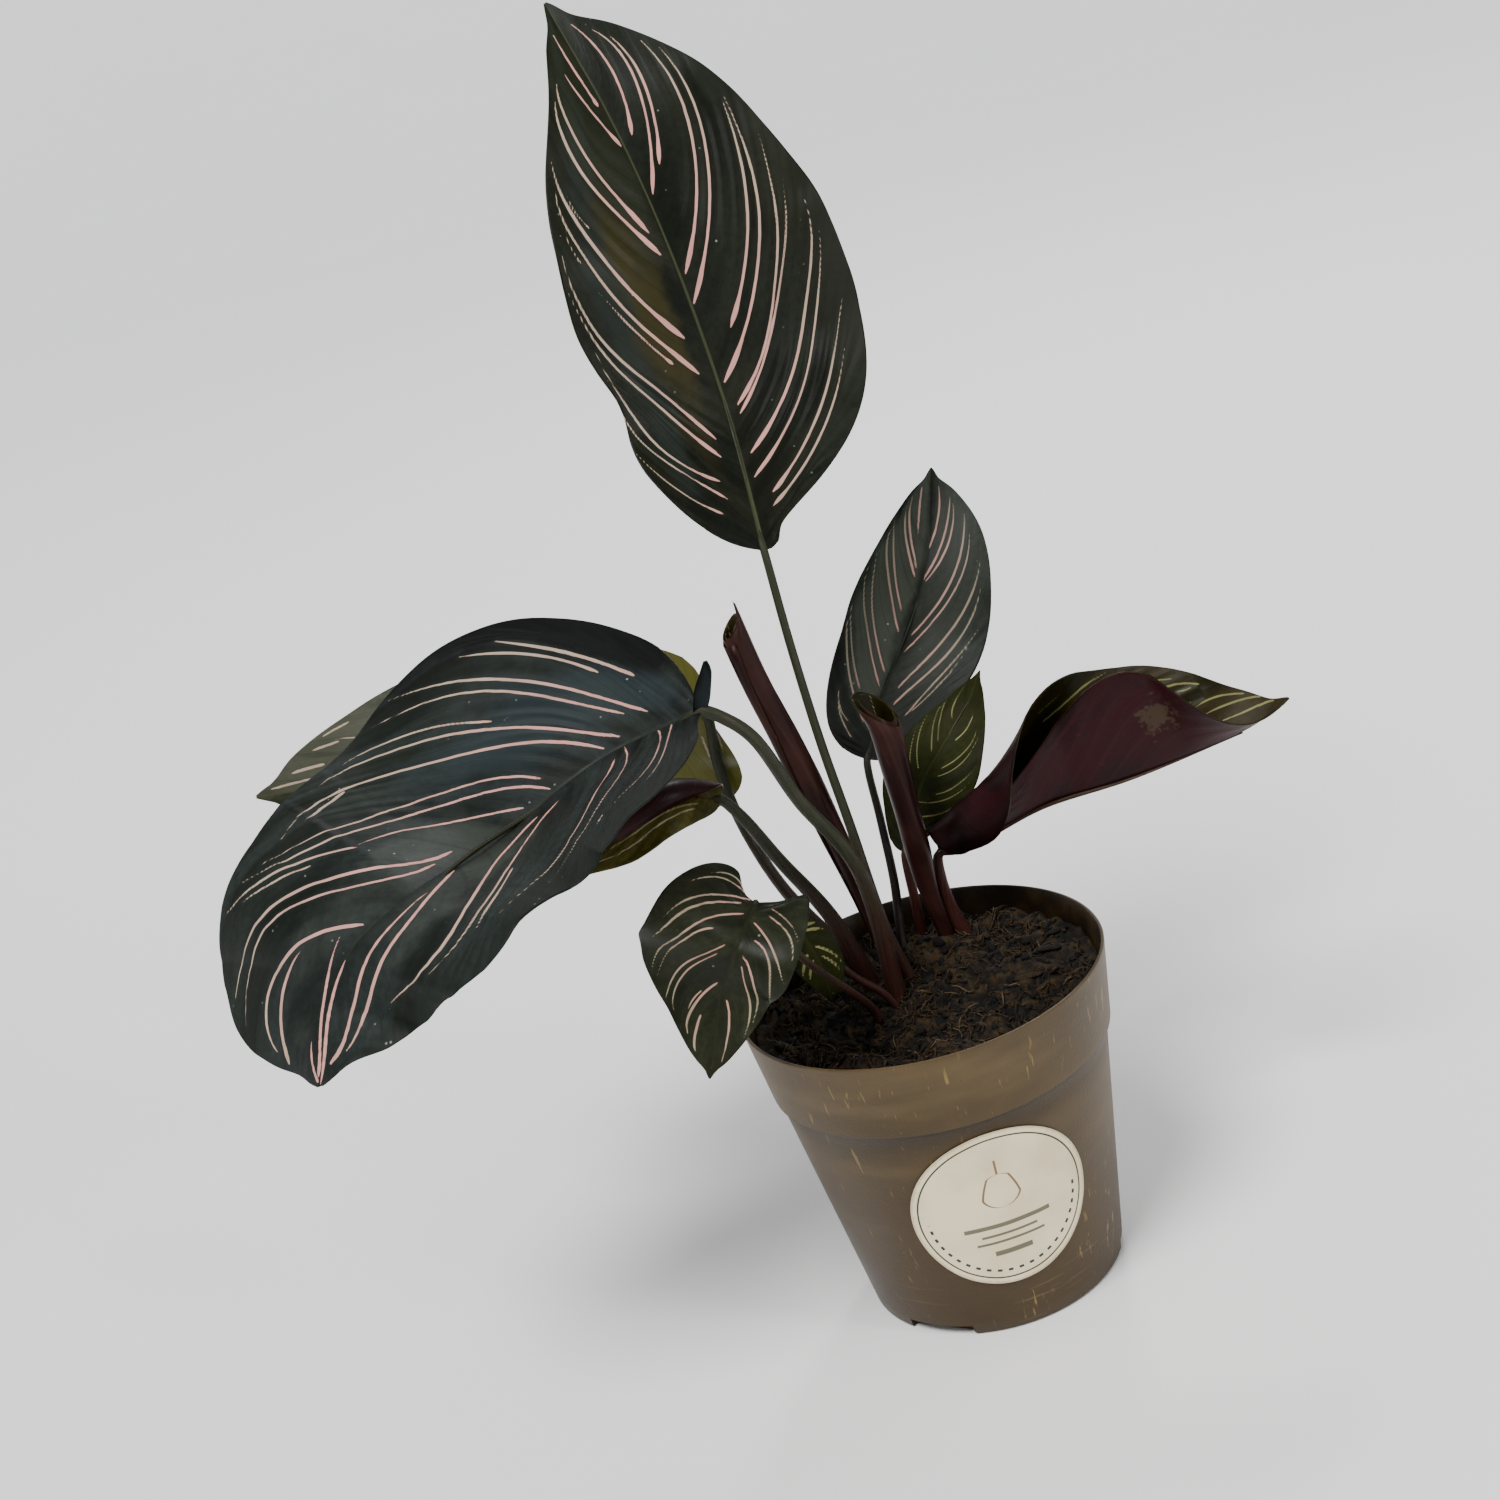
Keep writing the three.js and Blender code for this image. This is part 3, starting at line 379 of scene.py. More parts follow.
            "width": 8, "fullness": (1, 1, 1, 1, 1), "lobe": 0.02, "peak": 0.8,
            "lift": [(0, 10), (1, 8)],
        },
    },
}

# Leaves still rolled into spears: the curve of the roll, its radii from the foot up, its number of
# turns, the mouth (depth of the slant, side of its highest place, step of the last turn), the thin
# point beside it (height, share of the winding) and the spin of the winding at the foot and along it.
ROLLED_LEAVES = {
    "rolled_leaf_tall": {
        "line": [
            (-7, 26, 88), (-7, 26, 96), (-11, 29, 126), (-16, 32, 156), (-19, 32, 173), (-22, 32, 190),
            (-26, 31, 210), (-29, 31, 232),
        ],
        "radii": (3, 3, 3.4, 4.4, 5, 4.8, 4.6, 4.6),
        "turns": 2.3, "mouth": (6, 0.4, 3), "point": (6, 0.68), "spin": (1.2, 1.5),
    },
    "rolled_leaf_short": {
        "line": [
            (11, 37, 88), (11, 37, 96), (12, 37, 99), (10, 36, 121), (10, 35, 147), (10, 34, 169),
            (10, 33, 184), (7, 33, 196),
        ],
        "radii": (2.6, 2.6, 3, 4.4, 4.3, 5, 5.6, 6.2),
        "turns": 1.6, "mouth": (13, 2.6, 3), "point": (0, 0.31), "spin": (2.4, 1),
    },
}


# Curves and the flat outline of a leaf.


def spline(points):
    """Points of a smooth curve through the given ones, as the CAD draws it."""
    p = np.asarray(points, float)
    ends = np.vstack([2 * p[0] - p[1], p, 2 * p[-1] - p[-2]])
    t = np.linspace(0, 1, 40, endpoint=False)[:, None]
    out = []
    for a, b, c, d in zip(ends, ends[1:], ends[2:], ends[3:]):
        ab, bc, cd = (math.sqrt(np.linalg.norm(v - u)) for u, v in ((a, b), (b, c), (c, d)))
        leave = ((b - a) / ab - (c - a) / (ab + bc) + (c - b) / bc) * bc
        arrive = ((c - b) / bc - (d - b) / (bc + cd) + (d - c) / cd) * bc
        square = 3 * (c - b) - 2 * leave - arrive
        cube = 2 * (b - c) + leave + arrive
        out.append(b + leave * t + square * t**2 + cube * t**3)
    return np.vstack(out + [p[-1:]])


def unit(v):
    return v / np.maximum(np.linalg.norm(v, axis=-1, keepdims=True), 1e-9)


def lengths(line):
    """Distance along a line of points."""
    return np.concatenate([[0], np.cumsum(np.linalg.norm(np.diff(line, axis=0), axis=1))])


def sample(x, xs, rows):
    """Rows of coordinates read off at x."""
    rows = np.asarray(rows)
    return np.stack([np.interp(x, xs, rows[:, k]) for k in range(3)], -1)


def spokes(turn, across, third):
    """Directions round a curve, from two directions square to it."""
    return np.cos(turn)[..., None] * across + np.sin(turn)[..., None] * third


class Rib:
    """Midrib of a leaf, with a frame at any distance along it."""

    def __init__(self, leaf):
        self.line = spline(leaf["midrib"])
        self.run = lengths(self.line)
        self.length = self.run[-1]
        self.heading = unit(np.gradient(self.line, self.run, axis=0))
        self.facing = np.array(leaf["facing"], float)
        self.ease = leaf.get("ease", 0.03)

    def frame(self, x):
        """The point at x, the direction across the blade to the right, and the way its face looks."""
        u = np.clip(x / self.length, 0, 1)
        along = 0
        # The heading is a mean over a stretch, so that sharp bends don't fold the blade.
        for k in range(-4, 5):
            at = np.clip(u + self.ease * k, 0, 1) * self.length
            along = along + math.exp(-k * k / 8) * sample(at, self.run, self.heading)
        along = unit(along)
        side = unit(np.cross(along, sample(u, self.facing[:, 0], self.facing[:, 1:])))
        point = sample(u * self.length, self.run, self.line) + (x - u * self.length)[..., None] * along
        return point, side, np.cross(side, along)


def relative_width(fullness, m):
    """Smooth curve through the relative widths at the stations."""
    ys = np.array([fullness[0], *fullness, fullness[-1]])
    k = np.arange(len(ys))
    before, after = np.maximum(k - 1, 0), np.minimum(k + 1, k[-1])
    slope = (ys[after] - ys[before]) / (WIDTH_STATIONS[after] - WIDTH_STATIONS[before])
    i = np.clip(np.searchsorted(WIDTH_STATIONS, m) - 1, 0, k[-2])
    h = WIDTH_STATIONS[i + 1] - WIDTH_STATIONS[i]
    t = (m - WIDTH_STATIONS[i]) / h
    rise = 3 * t**2 - 2 * t**3
    bow = (t**3 - 2 * t**2 + t) * slope[i] + (t**3 - t**2) * slope[i + 1]
    return ys[i] * (1 - rise) + ys[i + 1] * rise + h * bow


def margin(half, length, m):
    """Point of a flat half's outline at a share of its way from the base to the tip."""
    m = np.asarray(m, float)
    arch = np.clip(np.sin(np.pi * np.clip(m, 0, 1) ** half["peak"]), 0, 1) ** (0.5 + 0.45 * m)
    back = half.get("lobe", 0) * np.sin(np.pi * np.minimum(m / LOBE_END, 1))
    neck = 1 - NECK_DEPTH * np.exp(-(((m - NECK_PLACE) / NECK_BREADTH) ** 2))
    wide = half["width"] * arch * relative_width(half["fullness"], m) * neck
    return length * (m - back) + 1j * wide


def flat_point(half, length, first, p, q):
    """Point of the flat blade on cross row p, at q from the midrib to the margin."""
    start = length * (p**ROW_SWEEP - first**ROW_SWEEP) / (1 - first**ROW_SWEEP)
    # The first rows bow out to the true outline of the base.
    bow = margin(half, length, first * q) - margin(half, length, first) * q
    fade = np.clip(1 - (p - first) / BASE_FADE, 0, 1) ** 2
    return start + (margin(half, length, p) - start) * q + bow * fade


def vein_point(half, length, p, q):
    """Point of the flat blade on side vein p at q from the midrib to the margin."""
    leave, turn, starts = half.get("veins", USUAL_VEINS)
    start = length * np.minimum(np.interp(p, VEIN_STATIONS, [0, *starts, 1]), p)
    end = margin(half, length, p)
    edge = margin(half, length, np.minimum(p + 0.004, 1)) - margin(half, length, np.maximum(p - 0.004, 0))
    edge = edge / (np.abs(edge) + 1e-9)
    reach = np.abs(end - start)
    # The lowest veins leave the midrib more squarely.
    out = np.radians(leave + 60 * np.maximum(0, 1 - p / 0.22) ** 1.3)
    first = start + 0.38 * reach * np.exp(1j * out)
    second = end - 0.36 * reach * edge * np.exp(1j * math.radians(turn))
    second = second.real + 1j * np.maximum(second.imag, 0)
    near = (1 - q) ** 3 * start + 3 * q * (1 - q) ** 2 * first
    return near + 3 * q * q * (1 - q) * second + q**3 * end


def vein_coordinate(half, length, flat):
    """The side vein that runs through each point, told by the place where it meets the margin."""
    ps = np.linspace(0.01, 0.99, 70)
    veins = vein_point(half, length, ps[:, None], np.linspace(0, 1, 40)[None, :])
    # Each vein runs on straight beyond the margin.
    last = veins[:, -1:] - veins[:, -3:-2]
    beyond = veins[:, -1:] + 9 * (last.real + 1j * np.maximum(last.imag, 0.05))
    veins = np.hstack([veins, beyond])
    # A table of the veins over the blade is read off between its places.
    levels = np.linspace(0, half["width"] * 1.25, 50)
    rising = np.maximum.accumulate(veins.imag, axis=1)
    crossing = np.array([np.interp(levels, up, vein.real) for up, vein in zip(rising, veins)])
    crossing = np.maximum.accumulate(crossing, axis=0)
    xs = np.linspace(-0.3 * length, 1.02 * length, 160)
    table = np.array([np.interp(xs, crossing[:, j], ps) for j in range(len(levels))])
    fx = np.clip((flat.real - xs[0]) / (xs[1] - xs[0]), 0, len(xs) - 1.001)
    fy = np.clip(np.abs(flat.imag) / levels[1], 0, len(levels) - 1.001)
    i, j = fx.astype(int), fy.astype(int)
    u, v = fx - i, fy - j
    low = table[j, i] * (1 - u) + table[j, i + 1] * u
    high = table[j + 1, i] * (1 - u) + table[j + 1, i + 1] * u
    return length * (low * (1 - v) + high * v)


def bend(half, side, rib, flat):
    """A point of the flat blade carried into space, with the normal of its upper face."""
    sign = -1 if side == "left" else 1
    u = np.clip(flat.real / rib.length, 0, 1)
    lift = np.radians(np.interp(u, *zip(*half["lift"])))
    per = np.radians(np.interp(u, *zip(*half.get("curl", USUAL_CURL[side])))) / half["width"]
    per = np.where(np.abs(per) < 1e-6, 1e-6, per)
    angle = lift + per * flat.imag
    out = sign * (np.sin(angle) - np.sin(lift)) / per
    rise = (np.cos(lift) - np.cos(angle)) / per
    point, across, up = rib.frame(flat.real)
    point = point + out[..., None] * across + rise[..., None] * up
    return point, (-sign * np.sin(angle))[..., None] * across + np.cos(angle)[..., None] * up


def stripe_line(stripe):
    """Smooth line through the points of a stripe."""
    points = np.array(stripe[:-1], float).reshape(-1, 2) @ [1, 1j]
    knots = np.linspace(0, 1, len(points))
    return np.polyval(np.polyfit(knots, points, len(points) - 1), np.linspace(0, 1, 15))


def stripe_field(flat, stripes, weight, club):
    """How far inside a stripe each point lies, in millimetres, negative outside."""
    field = np.full(flat.shape, OUTSIDE)
    for stripe in stripes:
        line = stripe_line(stripe)
        # Only the points near the stripe are looked at.
        left, right = line.real.min() - 2, line.real.max() + 2
        low, high = line.imag.min() - 2, line.imag.max() + 2
        near = (flat.real > left) & (flat.real < right) & (flat.imag > low) & (flat.imag < high)
        here, best = flat[near], field[near]
        for k, (a, b) in enumerate(zip(line, line[1:])):
            along = (here - a) * np.conj(b - a) / (abs(b - a) ** 2 + 1e-9)
            s = np.clip(along.real, 0, 1)
            at = (k + s) / (len(line) - 1)
            # A stripe starts with a club beside the midrib and thins out to the margin.
            width = weight * stripe[-1] * np.interp(at, (0, 0.5, 1), (0.95, 1.05, 0.75))
            width *= np.clip((at + 0.03) / 0.06, 0, 1) * np.clip((1.04 - at) / 0.3, 0, 1) ** 0.6
            width *= 1 + club * np.exp(-(((at - 0.07) / 0.06) ** 2))
            best = np.maximum(best, width / 2 - np.abs(here - a - s * (b - a)))
        field[near] = best
    return field


def usual_stripes(half, length, rng):
    """Pairs of stripes along side veins, for the halves that stand mostly hidden."""
    rows = []
    p = 0.16
    while p < 0.9:
        for k, shift in enumerate((0, 3.4 / length)):
            q = np.linspace(0.12 + 0.08 * rng.random(), 0.84 + 0.12 * rng.random() - 0.1 * k, 3)
            at = vein_point(half, length, np.full(3, p + shift), q)
            rows.append([*np.stack([at.real, at.imag], -1).ravel(), 0.9])
        p += 15 / length * (0.85 + 0.3 * rng.random())
    return rows


# Meshes.


class Mesh:
    """Vertices in millimetres, faces with a material each, and values kept with the vertices."""

    def __init__(self):
        self.points = []
        self.faces = []
        self.kinds = []
        self.values = {"vein": [], "stripe": [], "rib": [], "tint": []}
        self.count = 0

    def add(self, points, faces, kind=0, vein=(0.0, 0.0, 0.0), stripe=OUTSIDE, rib=OUTSIDE, tint=0.0):
        n = len(points)
        self.points.append(np.asarray(points, float))
        self.faces += [[v + self.count for v in face] for face in faces]
        self.kinds += [kind] * len(faces) if isinstance(kind, int) else kind
        self.values["vein"].append(np.broadcast_to(vein, (n, 3)))
        for key, value in (("stripe", stripe), ("rib", rib), ("tint", tint)):
            self.values[key].append(np.broadcast_to(value, (n,)))
        self.count += n

    def make(self, name, materials=(), smooth=True):
        """The mesh as an object, its faces turned outwards."""
        mesh = bpy.data.meshes.new(name)
        mesh.from_pydata((np.vstack(self.points) * MM).tolist(), [], self.faces)
        for material in materials:
            mesh.materials.append(material)
        mesh.polygons.foreach_set("material_index", self.kinds)
        mesh.polygons.foreach_set("use_smooth", [smooth] * len(mesh.polygons))
        for key, value in self.values.items():
            kind, field = ("FLOAT_VECTOR", "vector") if key == "vein" else ("FLOAT", "value")
            attribute = mesh.attributes.new(key, kind, "POINT")
            attribute.data.foreach_set(field, np.concatenate(value).astype(np.float32).ravel())
        work = bmesh.new()
        work.from_mesh(mesh)
        bmesh.ops.recalc_face_normals(work, faces=work.faces)
        work.to_mesh(mesh)
        work.free()
        return link(name, mesh)


def link(name, data, place=(0, 0, 0), angles=(0, 0, 0)):
    """A new object in the scene."""
    thing = bpy.data.objects.new(name, data)
    thing.location = place
    thing.rotation_euler = angles
    bpy.context.scene.collection.objects.link(thing)
    return thing


def hand_in(piece, node):
    """Say which part of the CAD a piece stands for."""
    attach(piece, "root")
    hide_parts(node)


def surface_normals(points, like):
    """Unit normals of a grid of points, on the side of the given ones."""
    n = unit(np.cross(np.gradient(points, axis=0), np.gradient(points, axis=1)))
    return n * np.where((n * like).sum(-1, keepdims=True) < 0, -1, 1)


def grid_faces(rows, columns, base=0):
    """Quads of a grid of rows by columns vertices."""
    i, j = np.meshgrid(np.arange(rows - 1), np.arange(columns - 1), indexing="ij")
    a = (base + i * columns + j).ravel()
    return np.stack([a, a + 1, a + columns + 1, a + columns], -1).tolist()


def closed_rings(rings, start, end):
    """Points and faces of a stack of rings, closed by fans round two points."""
    rows, sides = rings.shape[:2]
    i, j = np.meshgrid(np.arange(rows - 1), np.arange(sides), indexing="ij")
    a, b = i * sides + j, i * sides + (j + 1) % sides
    faces = np.stack([a, b, b + sides, a + sides], -1).reshape(-1, 4).tolist()
    n, last = rows * sides, (rows - 1) * sides
    for k in range(sides):
        after = (k + 1) % sides
        faces += [[n, after, k], [n + 1, last + k, last + after]]
    return np.vstack([rings.reshape(-1, 3), [start, end]]), faces


def tube(mesh, points, radii, sides=14, step=2.0, kind=0, ribs=0.0, tint=0.0, stripe=OUTSIDE):
    """A closed tube along a curve, its radius and grooves following the curve."""
    line = spline(points)
    run = lengths(line)
    rows = max(6, int(run[-1] / step))
    t = np.linspace(0, 1, rows + 1)
    radius = np.interp(t, np.linspace(0, 1, len(radii)), radii)[:, None]
    centre = sample(t * run[-1], run, line)
    along = unit(np.gradient(centre, axis=0))
    across = np.zeros_like(centre)
    previous = np.array([1.0, 0, 0])
    for i in range(rows + 1):
        previous = unit(previous - along[i] * (previous @ along[i]))
        across[i] = previous
    third = np.cross(along, across)
    turn = np.linspace(0, 2 * np.pi, sides, endpoint=False)[None, :]
    wobble = 1 + ribs * np.sin(5 * turn) * np.sin(0.11 * t * run[-1])[:, None]
    rings = centre[:, None] + (radius * wobble)[..., None] * spokes(turn, across[:, None], third[:, None])
    start = centre[0] - along[0] * radius[0] * 0.35
    end = centre[-1] + along[-1] * radius[-1] * 0.35
    vertices, faces = closed_rings(rings, start, end)
    around = radius * turn
    share = np.broadcast_to(t[:, None], around.shape)
    vein = np.stack([around, share * run[-1], share], -1).reshape(-1, 3)
    vein = np.vstack([vein, [[0, 0, 0], [0, run[-1], 1]]])
    mesh.add(vertices, faces, kind, vein, stripe=stripe, tint=tint)


def sheet(mesh, centre, normal, thick, vein, stripe, rib, coarse=(4, 3), kinds=(0, 1)):
    """A closed sheet from a grid: fine above, coarser below, joined round its edge."""
    rows, columns = centre.shape[:2]
    kr, kc = coarse
    top = centre + normal * (thick / 2)
    below = (centre - normal * (thick / 2))[::kr, ::kc]
    base, wide = rows * columns, below.shape[1]

    def edge(i, j, down, right, way):
        """A face of the edge: a run of fine vertices above and the two coarse ones below them."""
        steps = range(max(down, right) + 1)
        fine = [(i + k * (down > 0)) * columns + j + k * (right > 0) for k in steps]
        ends = [base + (a // kr) * wide + b // kc for a, b in ((i + down, j + right), (i, j))]
        return fine[::way] + ends[::way]

    rim = []
    for i in range(0, rows - 1, kr):
        rim += [edge(i, 0, kr, 0, 1), edge(i, columns - 1, kr, 0, -1)]
    for j in range(0, columns - 1, kc):
        rim += [edge(0, j, 0, kc, -1), edge(rows - 1, j, 0, kc, 1)]
    upper = grid_faces(rows, columns)
    lower = [face[::-1] for face in grid_faces(below.shape[0], wide, base)]

    def both(values):
        """Values of the vertices above and then of those below."""
        values = np.broadcast_to(values, (rows, columns, *np.shape(values)[2:]))
        size = values.shape[2:]
        return np.concatenate([values.reshape(-1, *size), values[::kr, ::kc].reshape(-1, *size)])

    mesh.add(
        np.vstack([top.reshape(-1, 3), below.reshape(-1, 3)]),
        upper + lower + rim,
        [kinds[0]] * len(upper) + [kinds[1]] * len(lower) + [kinds[0]] * len(rim),
        both(vein),
        both(stripe),
        both(rib),
    )


# Leaves.


def leaf_rows(leaf, length):
    """Shares of the margin at which the cross rows of a blade lie, spaced evenly."""
    fine = np.linspace(leaf.get("first_row", FIRST_ROW), LAST_ROW, 1500)
    move = (fine[1:] - fine[:-1]) * length
    for side in ("left", "right"):
        move = np.maximum(move, np.abs(np.diff(margin(leaf[side], length, fine))))
    travel = np.concatenate([[0], np.cumsum(move)])
    rows = 4 * max(4, round(travel[-1] / leaf["grid"] / 4))
    return np.interp(np.linspace(0, travel[-1], rows + 1), travel, fine)[:, None]


def rib_width(u):
    """Half-width of the midrib's band, narrowing to the tip."""
    return RIB_WIDTH * np.clip(1.05 - 0.75 * np.clip(u, 0, 1), 0.2, 1)


def blade_relief(leaf, side, length, slow, p, q, flat, vein):
    """Height of the blade above its plain form: ripples, quilting between veins and slow lumps."""
    x, y = flat.real, flat.imag
    sign, phase = (-1, 0) if side == "left" else (1, 1.3)
    height, count = leaf["wave"]
    tall = np.sqrt(np.clip(np.sin(np.pi * p), 0, 1))
    lift = height * np.sin(2 * np.pi * count * p + phase) * q**2 * tall
    lift = lift + RIPPLE * np.sin(6.2 * np.pi * count * p + 2 * phase) * q**4 * tall
    middle = np.clip(np.sin(np.pi * np.clip(q, 0, 1)), 0, 1) ** 0.6 * tall
    quilt = np.sin(2 * np.pi * vein / VEIN_STEP + sign + 0.6 * np.sin(vein / 17))
    lift = lift + QUILT * quilt * (0.6 + 0.4 * np.sin(vein / 9 + y / 8)) * middle
    for size, angle, shift in slow:
        across = x * math.cos(angle) + sign * y * math.sin(angle)
        lift = lift + LUMP * np.sin(2 * np.pi * across / size + shift) * middle
    groove = np.exp(-((y / (0.75 * rib_width(x / length))) ** 2))
    return lift - GROOVE * groove * np.clip(1.1 - x / length, 0, 1)


def half_grid(leaf, side, rib, p, slow, rng):
    """Points, normals, vein values, stripe distances and midrib distances of one half."""
    half = leaf[side]
    columns = 3 * max(2, round(half["width"] * max(half["fullness"]) / leaf["grid"] / 3))
    t = np.linspace(0, 1, columns + 1)[None, :]
    q = np.broadcast_to(t * (0.8 + 0.2 * t), (len(p), columns + 1))
    flat = flat_point(half, rib.length, leaf.get("first_row", FIRST_ROW), p, q)
    point, normal = bend(half, side, rib, flat)
    vein = vein_coordinate(half, rib.length, flat)
    point = point + blade_relief(leaf, side, rib.length, slow, p, q, flat, vein)[..., None] * normal
    stripes = half["stripes"] if "stripes" in half else usual_stripes(half, rib.length, rng)
    field = stripe_field(flat, stripes, leaf.get("weight", 1.0), leaf.get("club", 0.0))
    start = RIGHT_HALF if side == "right" else 0
    values = np.stack([vein + start, flat.imag, q], -1)
    return point, normal, values, field, rib_width(flat.real / rib.length) - flat.imag


def tongue(mesh, line):
    """The basal margin of a half, curled up beside the joint into a narrow hollow tongue."""
    path = spline(line)
    t = np.linspace(0, 1, 25)[:, None]
    across = np.linspace(-1, 1, 13)[None, :]
    centre = sample(t * lengths(path)[-1], lengths(path), path)
    wide = 2.9 * np.sin(np.pi * (0.18 + 0.8 * t)) ** 0.7
    hollow = (1.5 * across**2 * t)[..., None] * [0, -0.8, 0.3]
    point = centre + (wide * across)[..., None] * [0.95, 0.1, 0.05] + hollow
    vein = np.stack(np.broadcast_arrays(RIGHT_HALF + 40 + 6 * across, 8 * t, 0.5), -1)
    normal = surface_normals(point, [0, -1.0, 0.3])
    sheet(mesh, point, normal, BLADE, vein, OUTSIDE, OUTSIDE, (3, 3))


def make_leaf(name, leaf, seed, materials):
    """A blade, closed and thin, with the stalk that runs on below it as the ridge of its midrib."""
    rib = Rib(leaf)
    rng = np.random.default_rng(seed)
    slow = [(rng.uniform(26, 60), rng.uniform(0, 6.28), rng.uniform(0, 6.28)) for _ in range(5)]
    p = leaf_rows(leaf, rib.length)
    left, right = (half_grid(leaf, side, rib, p, slow, rng) for side in ("left", "right"))
    whole = [np.concatenate([a[:, ::-1], b[:, 1:]], axis=1) for a, b in zip(left, right)]
    point, normal, vein, field, band = whole
    mesh = Mesh()
    sheet(mesh, point, surface_normals(point, normal), BLADE, vein, field, band)
    line = [(*leaf["stem"][0][:2], STALK_FOOT), *leaf["stem"]]
    radii = [leaf["stem_radii"][0], *leaf["stem_radii"]]
    if leaf.get("ridge", True):
        x = np.array([0.04, 0.12, 0.3, 0.55, 0.85]) * rib.length
        thick = np.minimum(radii[-1] * np.array([0.85, 0.7, 0.5, 0.32, 0.2]), [9, 1.3, 1.0, 0.7, 0.3])
        at, _, up = rib.frame(x)
        line += (at - up * (thick + 0.12)[:, None]).tolist()
        radii += list(thick)
    run = lengths(np.asarray(line, float))
    even = np.interp(np.linspace(0, run[-1], 60), run, radii)
    tube(mesh, line, even, kind=2, ribs=0.03)
    if "tongue" in leaf:
        tongue(mesh, leaf["tongue"])
    hand_in(mesh.make(name + "_blade", materials), name)


def make_roll(name, roll, materials):
    """A leaf rolled into a spear: a sheet wound round a curve, its upper end cut slanting."""
    path = spline(roll["line"])
    run = lengths(path)
    total = run[-1]
    theta = np.linspace(0, 1, 91)[None, :]
    t = np.linspace(0, 1, 4 * int(total / 6) + 1)[:, None]
    turn = 2 * math.pi * roll["turns"] * theta + roll["spin"][0] + roll["spin"][1] * t
    # The mouth is lowest on one side, and the outermost turn ends lower still, beside a thin point.
    depth, way, step = roll["mouth"]
    slant = depth * (1 - np.cos(turn - way)) / 2 + step * theta**3
    tall, where = roll["point"]
    slant = slant - tall * np.exp(-(((theta - where) / 0.035) ** 2))
    t = t * (1 - slant / total)
    inside = np.clip(t, 0, 1)
    centre = sample(inside * total, run, path)
    centre = centre + np.clip(t - 1, 0, None)[..., None] * total * unit(path[-1] - path[-9])
    along = unit(sample(inside * total, run, unit(np.gradient(path, run, axis=0))))
    across = unit(np.cross([0, 1.0, 0], along))
    radii = roll["radii"]
    r = np.interp(t, np.linspace(0, 1, len(radii)), radii) * (0.6 + 0.4 * theta**0.8)
    r = np.maximum(r, 0.35) * (1 + 0.03 * np.sin(7 * turn) * np.clip(1.2 - t, 0, 1))
    out = spokes(turn, across, np.cross(along, across))
    point = centre + r[..., None] * out
    around = theta * 8 * math.pi * roll["turns"]
    vein = np.stack(np.broadcast_arrays(around + 0.12 * t * total, t * total, theta), -1)
    stripe = 0.2 - 6.5 * np.abs(((around * 0.9 + 0.22 * t * total) / 6) % 1 - 0.5)
    mesh = Mesh()
    normal = surface_normals(point, -out)
    sheet(mesh, point, normal, BLADE, vein, np.maximum(stripe, OUTSIDE), OUTSIDE)
    hand_in(mesh.make(name + "_spear", materials), name)


# Materials.


def rgb(red, green, blue):
    """A colour given in display values, as the shader wants it, with its darks deepened."""
    return tuple(1.1 * ((c / 255 + 0.055) / 1.055) ** 3.24 for c in (red, green, blue)) + (1,)


